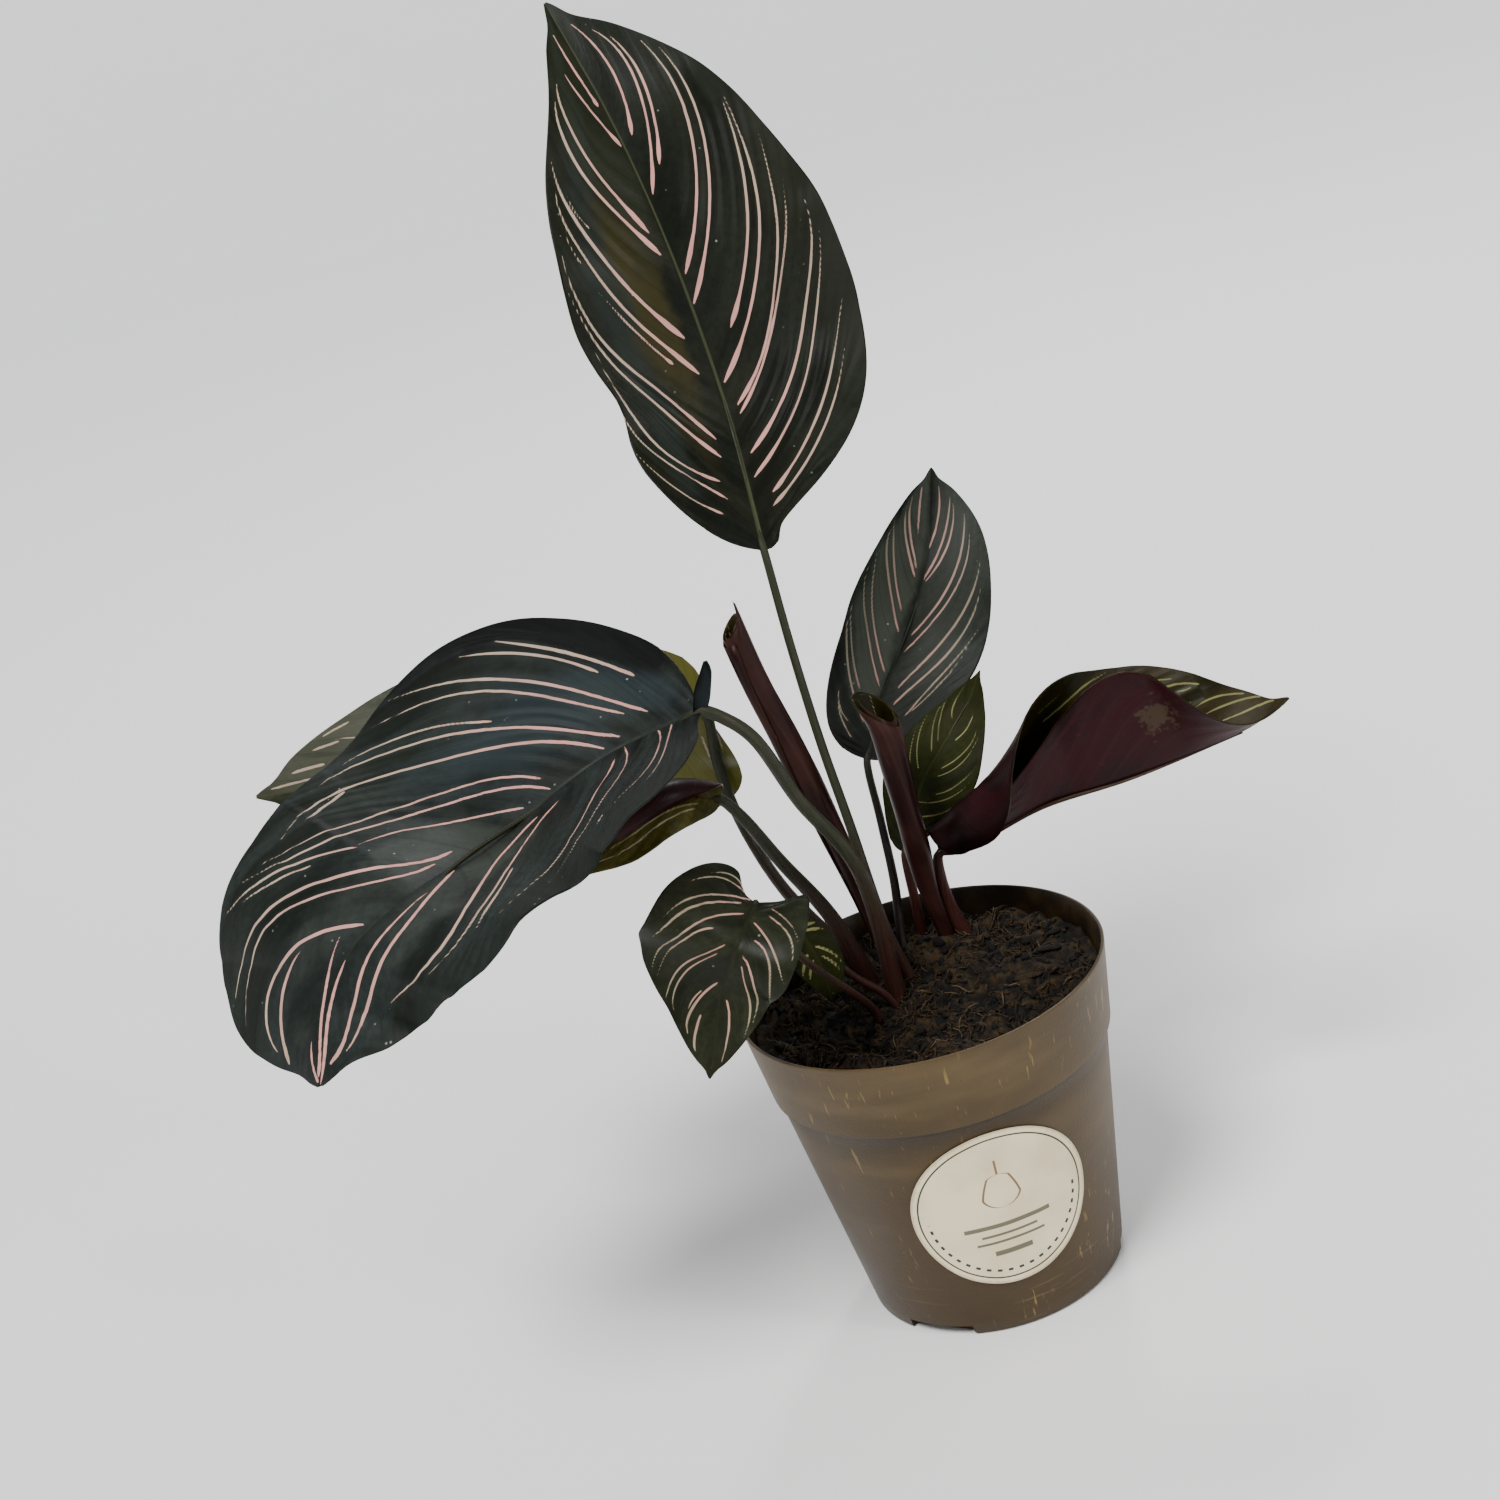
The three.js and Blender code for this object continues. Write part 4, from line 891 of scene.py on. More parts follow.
class Paint:
    """One material, with short names for its nodes."""

    def __init__(self, name, rough=0.5, shine=0.3):
        self.material = bpy.data.materials.new(name)
        self.material.use_nodes = True
        self.tree = self.material.node_tree
        self.shader = self.tree.nodes["Principled BSDF"]
        self.shader.inputs["Roughness"].default_value = rough
        self.shader.inputs["Specular IOR Level"].default_value = shine
        self.place = self.add("TexCoord", {}, "Object")

    def add(self, kind, inputs, output=0, **settings):
        node = self.tree.nodes.new("ShaderNode" + kind)
        for key, value in settings.items():
            setattr(node, key, value)
        for key, value in inputs.items():
            if isinstance(value, bpy.types.NodeSocket):
                self.tree.links.new(value, node.inputs[key])
            else:
                node.inputs[key].default_value = value
        return node.outputs[output]

    def math(self, how, a, b=0.0, clamp=False):
        return self.add("Math", {0: a, 1: b}, operation=how, use_clamp=clamp)

    def times(self, a, b):
        return self.math("MULTIPLY", a, b)

    def plus(self, a, b):
        return self.math("ADD", a, b)

    def less(self, a, b, clamp=False):
        return self.math("SUBTRACT", a, b, clamp)

    def swayed(self, value, noise, amount):
        """A value moved up and down by a noise around its middle."""
        return self.plus(value, self.times(self.less(noise, 0.5), amount))

    def off(self, value, centre):
        """Distance of a value from a centre."""
        return self.math("ABSOLUTE", self.less(value, centre))

    def mix(self, share, a, b, how="MIX"):
        return self.add("Mix", {0: share, 6: a, 7: b}, 2, data_type="RGBA", blend_type=how)

    def ramp(self, value, low, high, start=0.0, end=1.0):
        inputs = {0: value, 1: low, 2: high, 3: start, 4: end}
        return self.add("MapRange", inputs, interpolation_type="SMOOTHSTEP")

    def fall(self, value, low, high, start=1.0):
        return self.ramp(value, low, high, start, 0.0)

    def within(self, value, low, up, down, high, most=1.0):
        """A share that rises from low to up and falls again from down to high."""
        return self.times(self.ramp(value, low, up, 0.0, most), self.fall(value, down, high))

    def shade(self, colour, value, low, high, spread):
        """A colour made darker and brighter by the spread as the value goes from low to high."""
        grey = self.vector(*[self.ramp(value, low, high, 1 - spread, 1 + spread)] * 3)
        return self.mix(1.0, colour, grey, "MULTIPLY")

    def noise(self, vector, scale, detail=2.0, rough=0.5):
        inputs = {"Vector": vector, "Scale": scale, "Detail": detail, "Roughness": rough}
        return self.add("TexNoise", inputs)

    def drawn(self, x, y, wide, long, detail=3, rough=0.5):
        """Noise drawn out in one direction."""
        return self.noise(self.vector(self.times(x, wide), self.times(y, long)), 1.0, detail, rough)

    def cells(self, scale):
        return self.add("TexVoronoi", {"Vector": self.place, "Scale": scale}, "Distance")

    def value(self, name, output="Fac"):
        return self.add("Attribute", {}, output, attribute_name=name)

    def parts(self, vector):
        node = self.tree.nodes.new("ShaderNodeSeparateXYZ")
        self.tree.links.new(vector, node.inputs[0])
        return node.outputs

    def vector(self, x, y, z=0.0):
        return self.add("CombineXYZ", {0: x, 1: y, 2: z})

    def lines(self, vein, low, high, start, end):
        """Fine lines along the side veins."""
        wave = self.math("SINE", self.times(vein, 2 * math.pi / VEIN_STEP))
        return self.ramp(wave, low, high, start, end)

    def finish(self, colour, roughness, height, depth):
        bump = self.add("Bump", {"Height": height, "Distance": depth, "Strength": 1.0})
        for key, value in (("Base Color", colour), ("Roughness", roughness), ("Normal", bump)):
            self.tree.links.new(value, self.shader.inputs[key])
        return self.material


def tone_region(n, ground, vein, share, region):
    """Another tone between two side veins and two shares of the way to the margin; some are painted sheen.
    """
    start, end, inner, outer, tone, strength = region
    across = n.within(vein, start - 10, start + 10, end - 14, end + 14)
    along = n.within(share, inner - 0.06, inner + 0.1, outer - 0.1, outer + 0.06, strength)
    return n.mix(n.times(across, along), ground, tone)


def leaf_face(name, dark, light, warm, near, far, rib, warmth=0.3, rough=0.4, regions=()):
    """Upper face: dark ground with lengthwise mottling, brushed stripes, a pale midrib and dust."""
    n = Paint(name, rough, LEAF_SHINE)
    vein, away, share = n.parts(n.value("vein", "Vector"))
    inside, band = n.value("stripe"), n.value("rib")
    broad = n.drawn(vein, away, 0.07, 0.035)
    fine = n.drawn(vein, away, 1.5, 0.08, 4, 0.6)
    ground = n.mix(n.ramp(broad, 0.32, 0.7), dark, light)
    ground = n.shade(ground, n.noise(n.place, 420, 4, 0.6), 0.3, 0.7, 0.22)
    slow = n.ramp(n.drawn(vein, away, 0.022, 0.03, 2), 0.42, 0.7)
    ground = n.mix(n.times(slow, warmth), ground, warm)
    ground = n.shade(ground, fine, 0.25, 0.75, 0.16)
    shift = n.noise(n.place, 48, 4, 0.6)
    by_vein = n.swayed(vein, shift, 45.0)
    by_share = n.swayed(share, shift, 0.5)
    # Regions lay on tones of the leaf itself, and in some places painted sheen and highlights.
    for region in regions:
        ground = tone_region(n, ground, by_vein, by_share, region)
    # A darker line lies along each side vein, and the ground lightens a little beside the stripes.
    ground = n.mix(n.lines(vein, -1.0, -0.9, 0.22, 0.0), ground, (0.004, 0.006, 0.004, 1))
    ground = n.mix(n.ramp(inside, -1.5, -0.3, 0.0, 0.22), ground, light)
    ground = n.mix(n.ramp(band, -0.15, 0.35, 0.0, 0.85), ground, rib)
    # The edges of the stripes follow the fine grain, as if brushed on.
    mask = n.ramp(n.swayed(inside, fine, 0.5), -0.1, 0.12)
    paint = n.shade(n.mix(n.ramp(share, 0.15, 0.85), near, far), fine, 0.2, 0.8, 0.18)
    colour = n.mix(mask, ground, paint)
    # Dust and water marks lie in patches.
    speck = n.times(n.fall(n.cells(230), 0.05, 0.12, 0.55), n.ramp(n.noise(n.place, 60), 0.56, 0.7))
    colour = n.mix(speck, colour, (0.4, 0.42, 0.38, 1))
    roughness = n.plus(n.ramp(broad, 0.3, 0.7, rough - 0.07, rough + 0.09), n.times(mask, 0.12))
    height = n.plus(n.plus(fine, n.times(n.noise(n.place, 1900), 0.4)), n.times(mask, 0.12))
    return n.finish(colour, roughness, height, 0.00006)


def leaf_back(name, dark, light, line, rough=0.45, foot=0.0, patch=None):
    """Lower face: fine arcs along the veins, and paler lines where stripes lie above."""
    n = Paint(name, rough, LEAF_SHINE)
    vein, away, share = n.parts(n.value("vein", "Vector"))
    broad = n.drawn(vein, away, 0.06, 0.05)
    fine = n.drawn(vein, away, 1.1, 0.05, 4, 0.6)
    colour = n.mix(n.ramp(broad, 0.3, 0.7), dark, light)
    # The middle of the right half glows where light comes through.
    glow = n.times(n.within(share, 0.0, 0.35, 0.45, 0.9), n.ramp(vein, 260, 300, 0.15, 0.7))
    colour = n.mix(glow, colour, light)
    colour = n.mix(n.lines(vein, 0.8, 1.0, 0.0, 0.12), colour, line)
    colour = n.mix(n.ramp(n.value("stripe"), -0.3, 0.4, 0.0, 0.35), colour, line)
    colour = n.shade(colour, fine, 0.25, 0.75, 0.12)
    # The base may be darker than the rest.
    colour = n.mix(n.fall(vein, 10, 60, foot), colour, rgb(28, 18, 17))
    if patch:
        place, radius, tone = patch
        far = n.add("VectorMath", {0: n.place, 1: place}, "Value", operation="DISTANCE")
        torn = n.swayed(far, n.noise(n.place, 260, 4, 0.7), 0.03)
        colour = n.mix(n.fall(torn, radius * 0.4, radius * 0.8, 0.5), colour, tone)
    height = n.plus(fine, n.times(n.noise(n.place, 1500), 0.4))
    return n.finish(colour, n.ramp(broad, 0.3, 0.7, rough - 0.05, rough + 0.1), height, 0.00008)


def stalk(name, low, high):
    """A stalk: brown at the foot, greener above, with fine lengthwise grooves and pale dots."""
    n = Paint(name, 0.5, 0.25)
    around, along, _ = n.parts(n.value("vein", "Vector"))
    fibre = n.drawn(around, along, 1.6, 0.05, 4)
    mottle = n.noise(n.place, 160, 3)
    share = n.swayed(n.ramp(n.parts(n.place)[2], 0.105, 0.17), mottle, 0.7)
    colour = n.mix(n.math("ADD", share, 0.0, True), low, high)
    colour = n.shade(colour, fibre, 0.25, 0.75, 0.35)
    colour = n.mix(n.fall(n.cells(900), 0.08, 0.2, 0.3), colour, (0.12, 0.1, 0.07, 1))
    return n.finish(colour, n.ramp(mottle, 0.3, 0.7, 0.42, 0.62), fibre, 0.0003)


def pot_plastic():
    """Moulded plastic: browner low down, with flow marks, upright yellowish flecks and dried splashes."""
    n = Paint("pot_plastic")
    x, y, z = n.parts(n.place)

    def stretched(wide, tall, detail=3):
        return n.noise(n.vector(n.times(x, wide), n.times(y, wide), n.times(z, tall)), 1.0, detail)

    cloud = n.noise(n.place, 14, 4)
    flow = stretched(10.0, 50.0, 4)
    colour = n.mix(n.ramp(cloud, 0.3, 0.7), rgb(92, 77, 50), rgb(114, 97, 67))
    colour = n.mix(n.ramp(flow, 0.5, 0.75, 0.0, 0.4), colour, rgb(138, 121, 90))
    colour = n.mix(n.fall(n.swayed(z, cloud, 0.06), 0.0, 0.085, 0.75), colour, rgb(74, 58, 34))
    patch = n.ramp(n.noise(n.place, 22), 0.42, 0.6)
    streak = n.times(n.ramp(stretched(520.0, 75.0), 0.63, 0.72, 0.0, 0.6), patch)
    colour = n.mix(streak, colour, rgb(168, 146, 96))
    splash = n.plus(n.cells(260), n.times(n.noise(n.place, 30, 3), -0.34))
    colour = n.mix(n.fall(splash, -0.13, -0.07, 0.5), colour, rgb(56, 45, 30))
    scuff = n.times(n.ramp(stretched(40.0, 700.0), 0.62, 0.74, 0.0, 0.3), n.ramp(cloud, 0.45, 0.65))
    colour = n.mix(scuff, colour, rgb(150, 140, 120))
    # Painted shade darkens the wall below the collar, and a painted shadow line lies in the corner under the
    # step.
    step = COLLAR_BOTTOM * MM
    colour = n.mix(n.within(z, step - 0.015, step, step, step + 0.0004, 0.55), colour, rgb(52, 41, 25))
    # Painted shadow in the corner under the step.
    corner = n.within(z, step - 0.0012, step - 0.0006, step, step + 0.0006, 0.9)
    colour = n.mix(corner, colour, rgb(26, 20, 12))
    # The inside stays darker, dusted with mix.
    inner = n.times(n.value("tint"), n.ramp(n.noise(n.place, 90, 4), 0.3, 0.6, 0.6, 0.95))
    colour = n.mix(inner, colour, rgb(46, 36, 24))
    rough = n.plus(n.ramp(cloud, 0.3, 0.7, 0.4, 0.52), n.times(scuff, 0.5))
    height = n.plus(n.noise(n.place, 1400), n.times(flow, 0.8))
    return n.finish(colour, rough, height, 0.00012)


def mix_matter():
    """Potting mix: dark damp crumbs with bark, straw and a few pale bits, told apart by their tint."""
    n = Paint("potting_mix", 0.95)
    tint = n.value("tint")
    clod = n.noise(n.place, 260, 5, 0.65)
    dust = n.noise(n.place, 1500, 3)
    ground = n.mix(n.ramp(clod, 0.38, 0.66), rgb(20, 15, 9), rgb(86, 71, 46))
    bark = n.mix(n.ramp(dust, 0.3, 0.7), rgb(46, 36, 24), rgb(98, 80, 56))
    straw = n.mix(n.ramp(dust, 0.3, 0.7), rgb(86, 74, 53), rgb(130, 115, 88))
    colour = n.mix(n.ramp(tint, 0.2, 0.6), ground, bark)
    colour = n.mix(n.ramp(tint, 0.65, 1.0), colour, straw)
    # Painted shade darkens the hollows between the lumps, and the same value gives each crumb a darkness of
    # its own.
    colour = n.mix(n.fall(n.value("stripe"), -0.8, 0.5, 0.92), colour, rgb(8, 6, 4))
    height = n.plus(clod, n.times(dust, 0.4))
    return n.finish(colour, n.ramp(clod, 0.3, 0.7, 0.8, 0.98), height, 0.0011)


def sticker_paper():
    """Cream label paper with a generic print: a ring, a drop shape, bars and an arc of dots."""
    n = Paint("sticker_paper", 0.48, 0.4)
    x, y, radius = n.parts(n.value("vein", "Vector"))
    fibre = n.noise(n.place, 900, 4)
    stain = n.noise(n.place, 45, 3)
    colour = n.mix(n.ramp(stain, 0.35, 0.7), rgb(240, 228, 200), rgb(226, 213, 184))
    green = rgb(62, 70, 46)

    def line(distance, half):
        return n.fall(distance, half, half + 0.12)

    def bar(height, wide, half):
        return n.times(n.fall(n.off(x, 0.0), wide, wide + 0.15), line(n.off(y, height), half))

    colour = n.mix(line(n.off(radius, 27.2), 0.22), colour, green)
    beat = n.math("SINE", n.times(n.math("ARCTAN2", y, x), 44.0))
    dots = n.times(line(n.off(radius, 24.4), 0.42), n.ramp(beat, 0.1, 0.3))
    colour = n.mix(n.times(dots, n.fall(y, -2.0, -1.0)), colour, green)
    # The drop is a circle drawn up to a point.
    up = n.less(y, 7.0)
    wide = n.times(n.math("SQRT", n.less(1.0, n.ramp(up, -6.0, 12.0), True)), 6.4)
    low = n.math("SQRT", n.math("MAXIMUM", n.less(42.0, n.times(up, up)), 0.0))
    body = n.off(n.off(x, 0.0), n.math("MINIMUM", wide, low))
    drop = n.times(line(body, 0.3), n.fall(n.off(up, 2.7), 9.2, 9.4))
    colour = n.mix(drop, colour, rgb(150, 124, 88))
    bars = bar(-6.0, 14.0, 0.75)
    for height, wide, half in ((-9.6, 9.0, 0.4), (-12.4, 11.0, 0.4), (-16.8, 6.0, 0.9)):
        bars = n.math("MAXIMUM", bars, bar(height, wide, half))
    colour = n.mix(n.times(bars, 0.85), colour, green)
    worn = n.ramp(n.plus(radius, n.times(fibre, 1.6)), 29.2, 30.0, 0.0, 0.4)
    colour = n.mix(worn, colour, rgb(160, 146, 120))
    return n.finish(colour, n.ramp(stain, 0.3, 0.7, 0.42, 0.55), fibre, 0.00005)


# Pot, mix and sticker.


def steps(start, end, count):
    """Points at even steps on a straight line, the start left out."""
    return [tuple(p) for p in np.linspace(start, end, count + 1)[1:]]


def lathe(profile, sides):
    """Rings of points round the upright axis."""
    turn = np.linspace(0, 2 * np.pi, sides, endpoint=False)
    r, z = np.asarray(profile, float).T[..., None]
    return np.stack([r * np.cos(turn), r * np.sin(turn), np.broadcast_to(z, (len(r), sides))], -1)


def pot_profile():
    """The outside from the foot to the rim, the rolled rim, and the inside down to the floor."""
    base, top, collar, rim = BASE_RADIUS, BODY_TOP, COLLAR_RADIUS, RIM_RADIUS
    outer = [(20, 0.9), (base - 6.5, 0.9), (base - 5.3, 0.3), (base - 4.3, 0), (base - 0.8, 0.1), (base, 1)]
    outer += steps((base, 1), (top, COLLAR_BOTTOM - 0.8), 17)
    outer += [(top + 0.3, COLLAR_BOTTOM - 0.5), (collar - 0.3, COLLAR_BOTTOM - 0.25)]
    outer += [(collar, COLLAR_BOTTOM), (collar + 0.15, COLLAR_BOTTOM + 0.5)]
    outer += steps((collar + 0.15, COLLAR_BOTTOM + 0.5), (rim - 0.05, POT_HEIGHT - 0.9), 8)
    mouth = [(rim, -0.5), (rim - 0.15, -0.15), (rim - 0.5, 0), (rim - 0.9, -0.1), (rim - 1.15, -0.4)]
    edge = [(r, POT_HEIGHT + z) for r, z in mouth]
    inner = steps((rim - WALL, POT_HEIGHT - 1), (collar - 1.2, COLLAR_BOTTOM + 1.4), 6)
    inner += [(top - 0.2, COLLAR_BOTTOM + 0.2), (top - 1.1, COLLAR_BOTTOM - 0.8)]
    inner += steps((top - 1.4, COLLAR_BOTTOM - 2), (base - 1.2, POT_FLOOR + 0.6), 8)
    inner += [(base - 3.5, POT_FLOOR), (1, POT_FLOOR)]
    return outer + edge + inner, len(outer) + 3


def cut_notches(pot):
    """Cut the drainage notches into the lower edge."""
    tools = []
    corners = [(x, y, z) for x in (-4.5, 4.5) for y in (-0.5, 0.5) for z in (-1, 1)]
    size = np.array(corners) * [1, NOTCH_WIDTH, NOTCH_HEIGHT] + [BASE_RADIUS + 0.3, 0, 0]
    for k in range(NOTCH_COUNT):
        angle = math.radians(NOTCH_ANGLE + 360 / NOTCH_COUNT * k)
        points = size @ np.array(Matrix.Rotation(angle, 3, "Z")).T
        box = Mesh()
        box.add(points, [[0, 1, 3, 2], [4, 6, 7, 5], [0, 4, 5, 1], [2, 3, 7, 6], [0, 2, 6, 4], [1, 5, 7, 3]])
        tools.append(box.make("notch", smooth=False))
        cut = pot.modifiers.new("notch", "BOOLEAN")
        cut.operation = "DIFFERENCE"
        cut.solver = "EXACT"
        cut.object = tools[-1]
    graph = bpy.context.evaluated_depsgraph_get()
    pot.data = bpy.data.meshes.new_from_object(pot.evaluated_get(graph))
    pot.modifiers.clear()
    for tool in tools:
        bpy.data.objects.remove(tool)


def make_pot():
    profile, outside = pot_profile()
    vertices, faces = closed_rings(lathe(profile, POT_SIDES), (0, 0, 0.9), (0, 0, POT_FLOOR))
    inner = np.repeat(np.arange(len(profile)) >= outside, POT_SIDES)
    mesh = Mesh()
    mesh.add(vertices, faces, tint=np.append(inner, [False, True]).astype(float))
    pot = mesh.make("pot_body", [pot_plastic()])
    cut_notches(pot)
    pot.data.set_sharp_from_angle(angle=math.radians(38))
    hand_in(pot, "pot")


def lattice(x, y, size, seed):
    """Smooth random heights from -1 to 1 with lumps of about the given size."""
    places = 64
    table = np.random.default_rng(seed).uniform(-1, 1, (places, places))
    u, v = x / size + 17.3, y / size + 5.7
    i, j = np.floor(u).astype(int), np.floor(v).astype(int)
    a, b = (t * t * (3 - 2 * t) for t in (u - i, v - j))

    def corner(right, up):
        return table[(i + right) % places, (j + up) % places]

    low = corner(0, 0) * (1 - a) + corner(1, 0) * a
    high = corner(0, 1) * (1 - a) + corner(1, 1) * a
    return low * (1 - b) + high * b


def mix_lumps(x, y):
    return 2.0 * lattice(x, y, 6.5, 1) + 1.3 * lattice(x, y, 3.1, 2) + 0.7 * lattice(x, y, 1.5, 3)


def mix_height(x, y):
    """Height of the mix: a low crown round the stalks, higher towards the back right, and lumps."""
    crown = 2.2 * np.exp(-((x + 6) ** 2 + (y - 16) ** 2) / 500)
    back = 3.2 * np.clip((0.5 * x + 0.85 * y) / 50, 0, 1) ** 1.4
    swell = np.sin(0.21 * x + 0.7) * np.cos(0.17 * y - 0.4) + 0.5 * np.sin(0.33 * y + 0.26 * x)
    return MIX_LEVEL + crown + back + 1.12 * swell + mix_lumps(x, y)


def random_place(rng, radius):
    """A place in a circle round the middle of the pot, evenly spread over its area."""
    far, angle = radius * math.sqrt(rng.random()), rng.uniform(0, 2 * np.pi)
    return far * np.array([math.cos(angle), math.sin(angle)])


def add_crumbs(mesh, rng):
    """Crumbs and flat chips of bark, half sunk into the surface."""
    ball = bmesh.new()
    bmesh.ops.create_icosphere(ball, subdivisions=2, radius=1)
    points = np.array([v.co[:] for v in ball.verts])
    faces = [[v.index for v in f.verts] for f in ball.faces]
    ball.free()
    x, y, z = points.T
    for k in range(CRUMBS):
        centre = random_place(rng, MIX_RADIUS - 2.4)
        chip = rng.random() < 0.25
        size = 0.5 + 1.4 * rng.random() ** 3
        scale = size * np.array([2.6, 1.0, 0.45] if chip else [1.2, 1.0, 0.8])
        rough = 1 + 0.3 * lattice(x * 3 + k, y * 3 + z * 4, 1.0, k)
        spin = Matrix.Rotation(rng.uniform(0, 6.28), 3, "Z") @ Matrix.Rotation(rng.normal(0, 0.5), 3, "Y")
        shape = (points * rough[:, None] * scale) @ np.array(spin).T
        height = mix_height(*centre[:, None])[0] + 0.2 * size
        tint = rng.uniform(0.35, 0.6) if chip else rng.uniform(0, 0.3)
        mesh.add(shape + [*centre, height], faces, stripe=rng.uniform(-0.9, 0.6), tint=tint)


def add_fibres(mesh, rng):
    """Short bent fibres lying on the surface, thicker together in some places."""
    laid = 0
    while laid < FIBRES:
        centre = random_place(rng, MIX_RADIUS - 3.9)
        if lattice(*centre[:, None], 13, 5)[0] < rng.uniform(-0.7, 0.5):
            continue
        laid += 1
        way, long, bow = rng.uniform(0, 2 * np.pi), rng.uniform(2.5, 9), rng.normal(0, 0.35)
        s = np.linspace(-0.5, 0.5, 5)
        line = centre[:, None] + long * s * np.array([np.cos(way + 2 * bow * s), np.sin(way + 2 * bow * s)])
        line = line * np.minimum(1, (MIX_RADIUS - 1.4) / np.hypot(*line))
        height = mix_height(*line) + 0.7 + rng.uniform(0, 1.1, 5)
        thick = rng.uniform(0.15, 0.38)
        tint = rng.choice([0.1, 0.5, 0.7, 0.95], p=[0.3, 0.45, 0.19, 0.06])
        shape = [thick * 0.6, thick, thick * 0.4]
        tube(mesh, np.vstack([line, height]).T, shape, sides=4, step=long / 6, tint=tint, stripe=0.6)


def make_mix():
    """The body of the mix with a lumpy surface, and the loose matter on it."""
    top = lathe([(MIX_RADIUS * share, 0) for share in np.linspace(1, 0.012, MIX_RINGS)], MIX_SIDES)
    top[..., 2] = mix_height(top[..., 0], top[..., 1])
    wall = [(39.8, MIX_BOTTOM), (BODY_TOP - 2.2, COLLAR_BOTTOM - 2), (BODY_TOP - 0.5, COLLAR_BOTTOM + 1.5)]
    middle = (0, 0, mix_height(np.zeros(1), np.zeros(1))[0])
    rings = np.concatenate([lathe(wall, MIX_SIDES), top])
    vertices, faces = closed_rings(rings, (0, 0, MIX_BOTTOM), middle)
    x, y = vertices[:, 0], vertices[:, 1]
    mesh = Mesh()
    patchy = np.clip(0.1 + 0.25 * lattice(x, y, 2.4, 9), 0, 1)
    # The height of the lumps goes in as the stripe value, from which the material paints shade into the
    # hollows.
    mesh.add(vertices, faces, stripe=mix_lumps(x, y) / 2.2, tint=patchy)
    rng = np.random.default_rng(11)
    add_crumbs(mesh, rng)
    add_fibres(mesh, rng)
    hand_in(mesh.make("potting_mix_crumb", [mix_matter()]), "potting_mix")


def make_sticker():
    """A round label wrapped on the wall, its edge a little lifted in places."""
    slope = (BODY_TOP - BASE_RADIUS) / COLLAR_BOTTOM
    across = np.linspace(-1, 1, STICKER_GRID)
    # A square grid is drawn out to a disc.
    u, v = np.meshgrid(across, across, indexing="ij")
    x = STICKER_RADIUS * u * np.sqrt(1 - v * v / 2)
    y = STICKER_RADIUS * v * np.sqrt(1 - u * u / 2)
    far = np.hypot(x, y)
    z = STICKER_HEIGHT + y * math.cos(math.atan(slope))
    wall = BASE_RADIUS + slope * z
    angle = math.radians(STICKER_ANGLE) + x / wall
    lifted = 0.1 * np.clip((far - 26) / 3.5, 0, 1) ** 2 * (1 + np.sin(3 * np.arctan2(y, x)))
    out = wall + STICKER_GAP + lifted + 0.05 * np.sin(0.5 * x + 0.2 * y) * np.sin(0.3 * y)
    point = np.stack([out * np.cos(angle), out * np.sin(angle), z], -1)
    normal = surface_normals(point, np.stack([np.cos(angle), np.sin(angle), 0 * z], -1))
    mesh = Mesh()
    place = np.stack([x, y, far], -1)
    sheet(mesh, point, normal, STICKER_THICKNESS, place, OUTSIDE, OUTSIDE, (4, 4), (0, 0))
    piece = mesh.make("sticker_label", [sticker_paper()])
    piece.data.set_sharp_from_angle(angle=math.radians(40))
    hand_in(piece, "sticker")


# The colours of the leaves, stalks and spears.

PINK, CREAM = rgb(212, 168, 160), rgb(190, 174, 158)
DULL_PINK, DULL_CREAM = rgb(176, 146, 138), rgb(146, 140, 124)
FRONT_PINK, FRONT_CREAM = rgb(194, 158, 146), rgb(170, 160, 140)
GREEN_CREAM, GREEN_PALE = rgb(160, 156, 118), rgb(138, 138, 98)


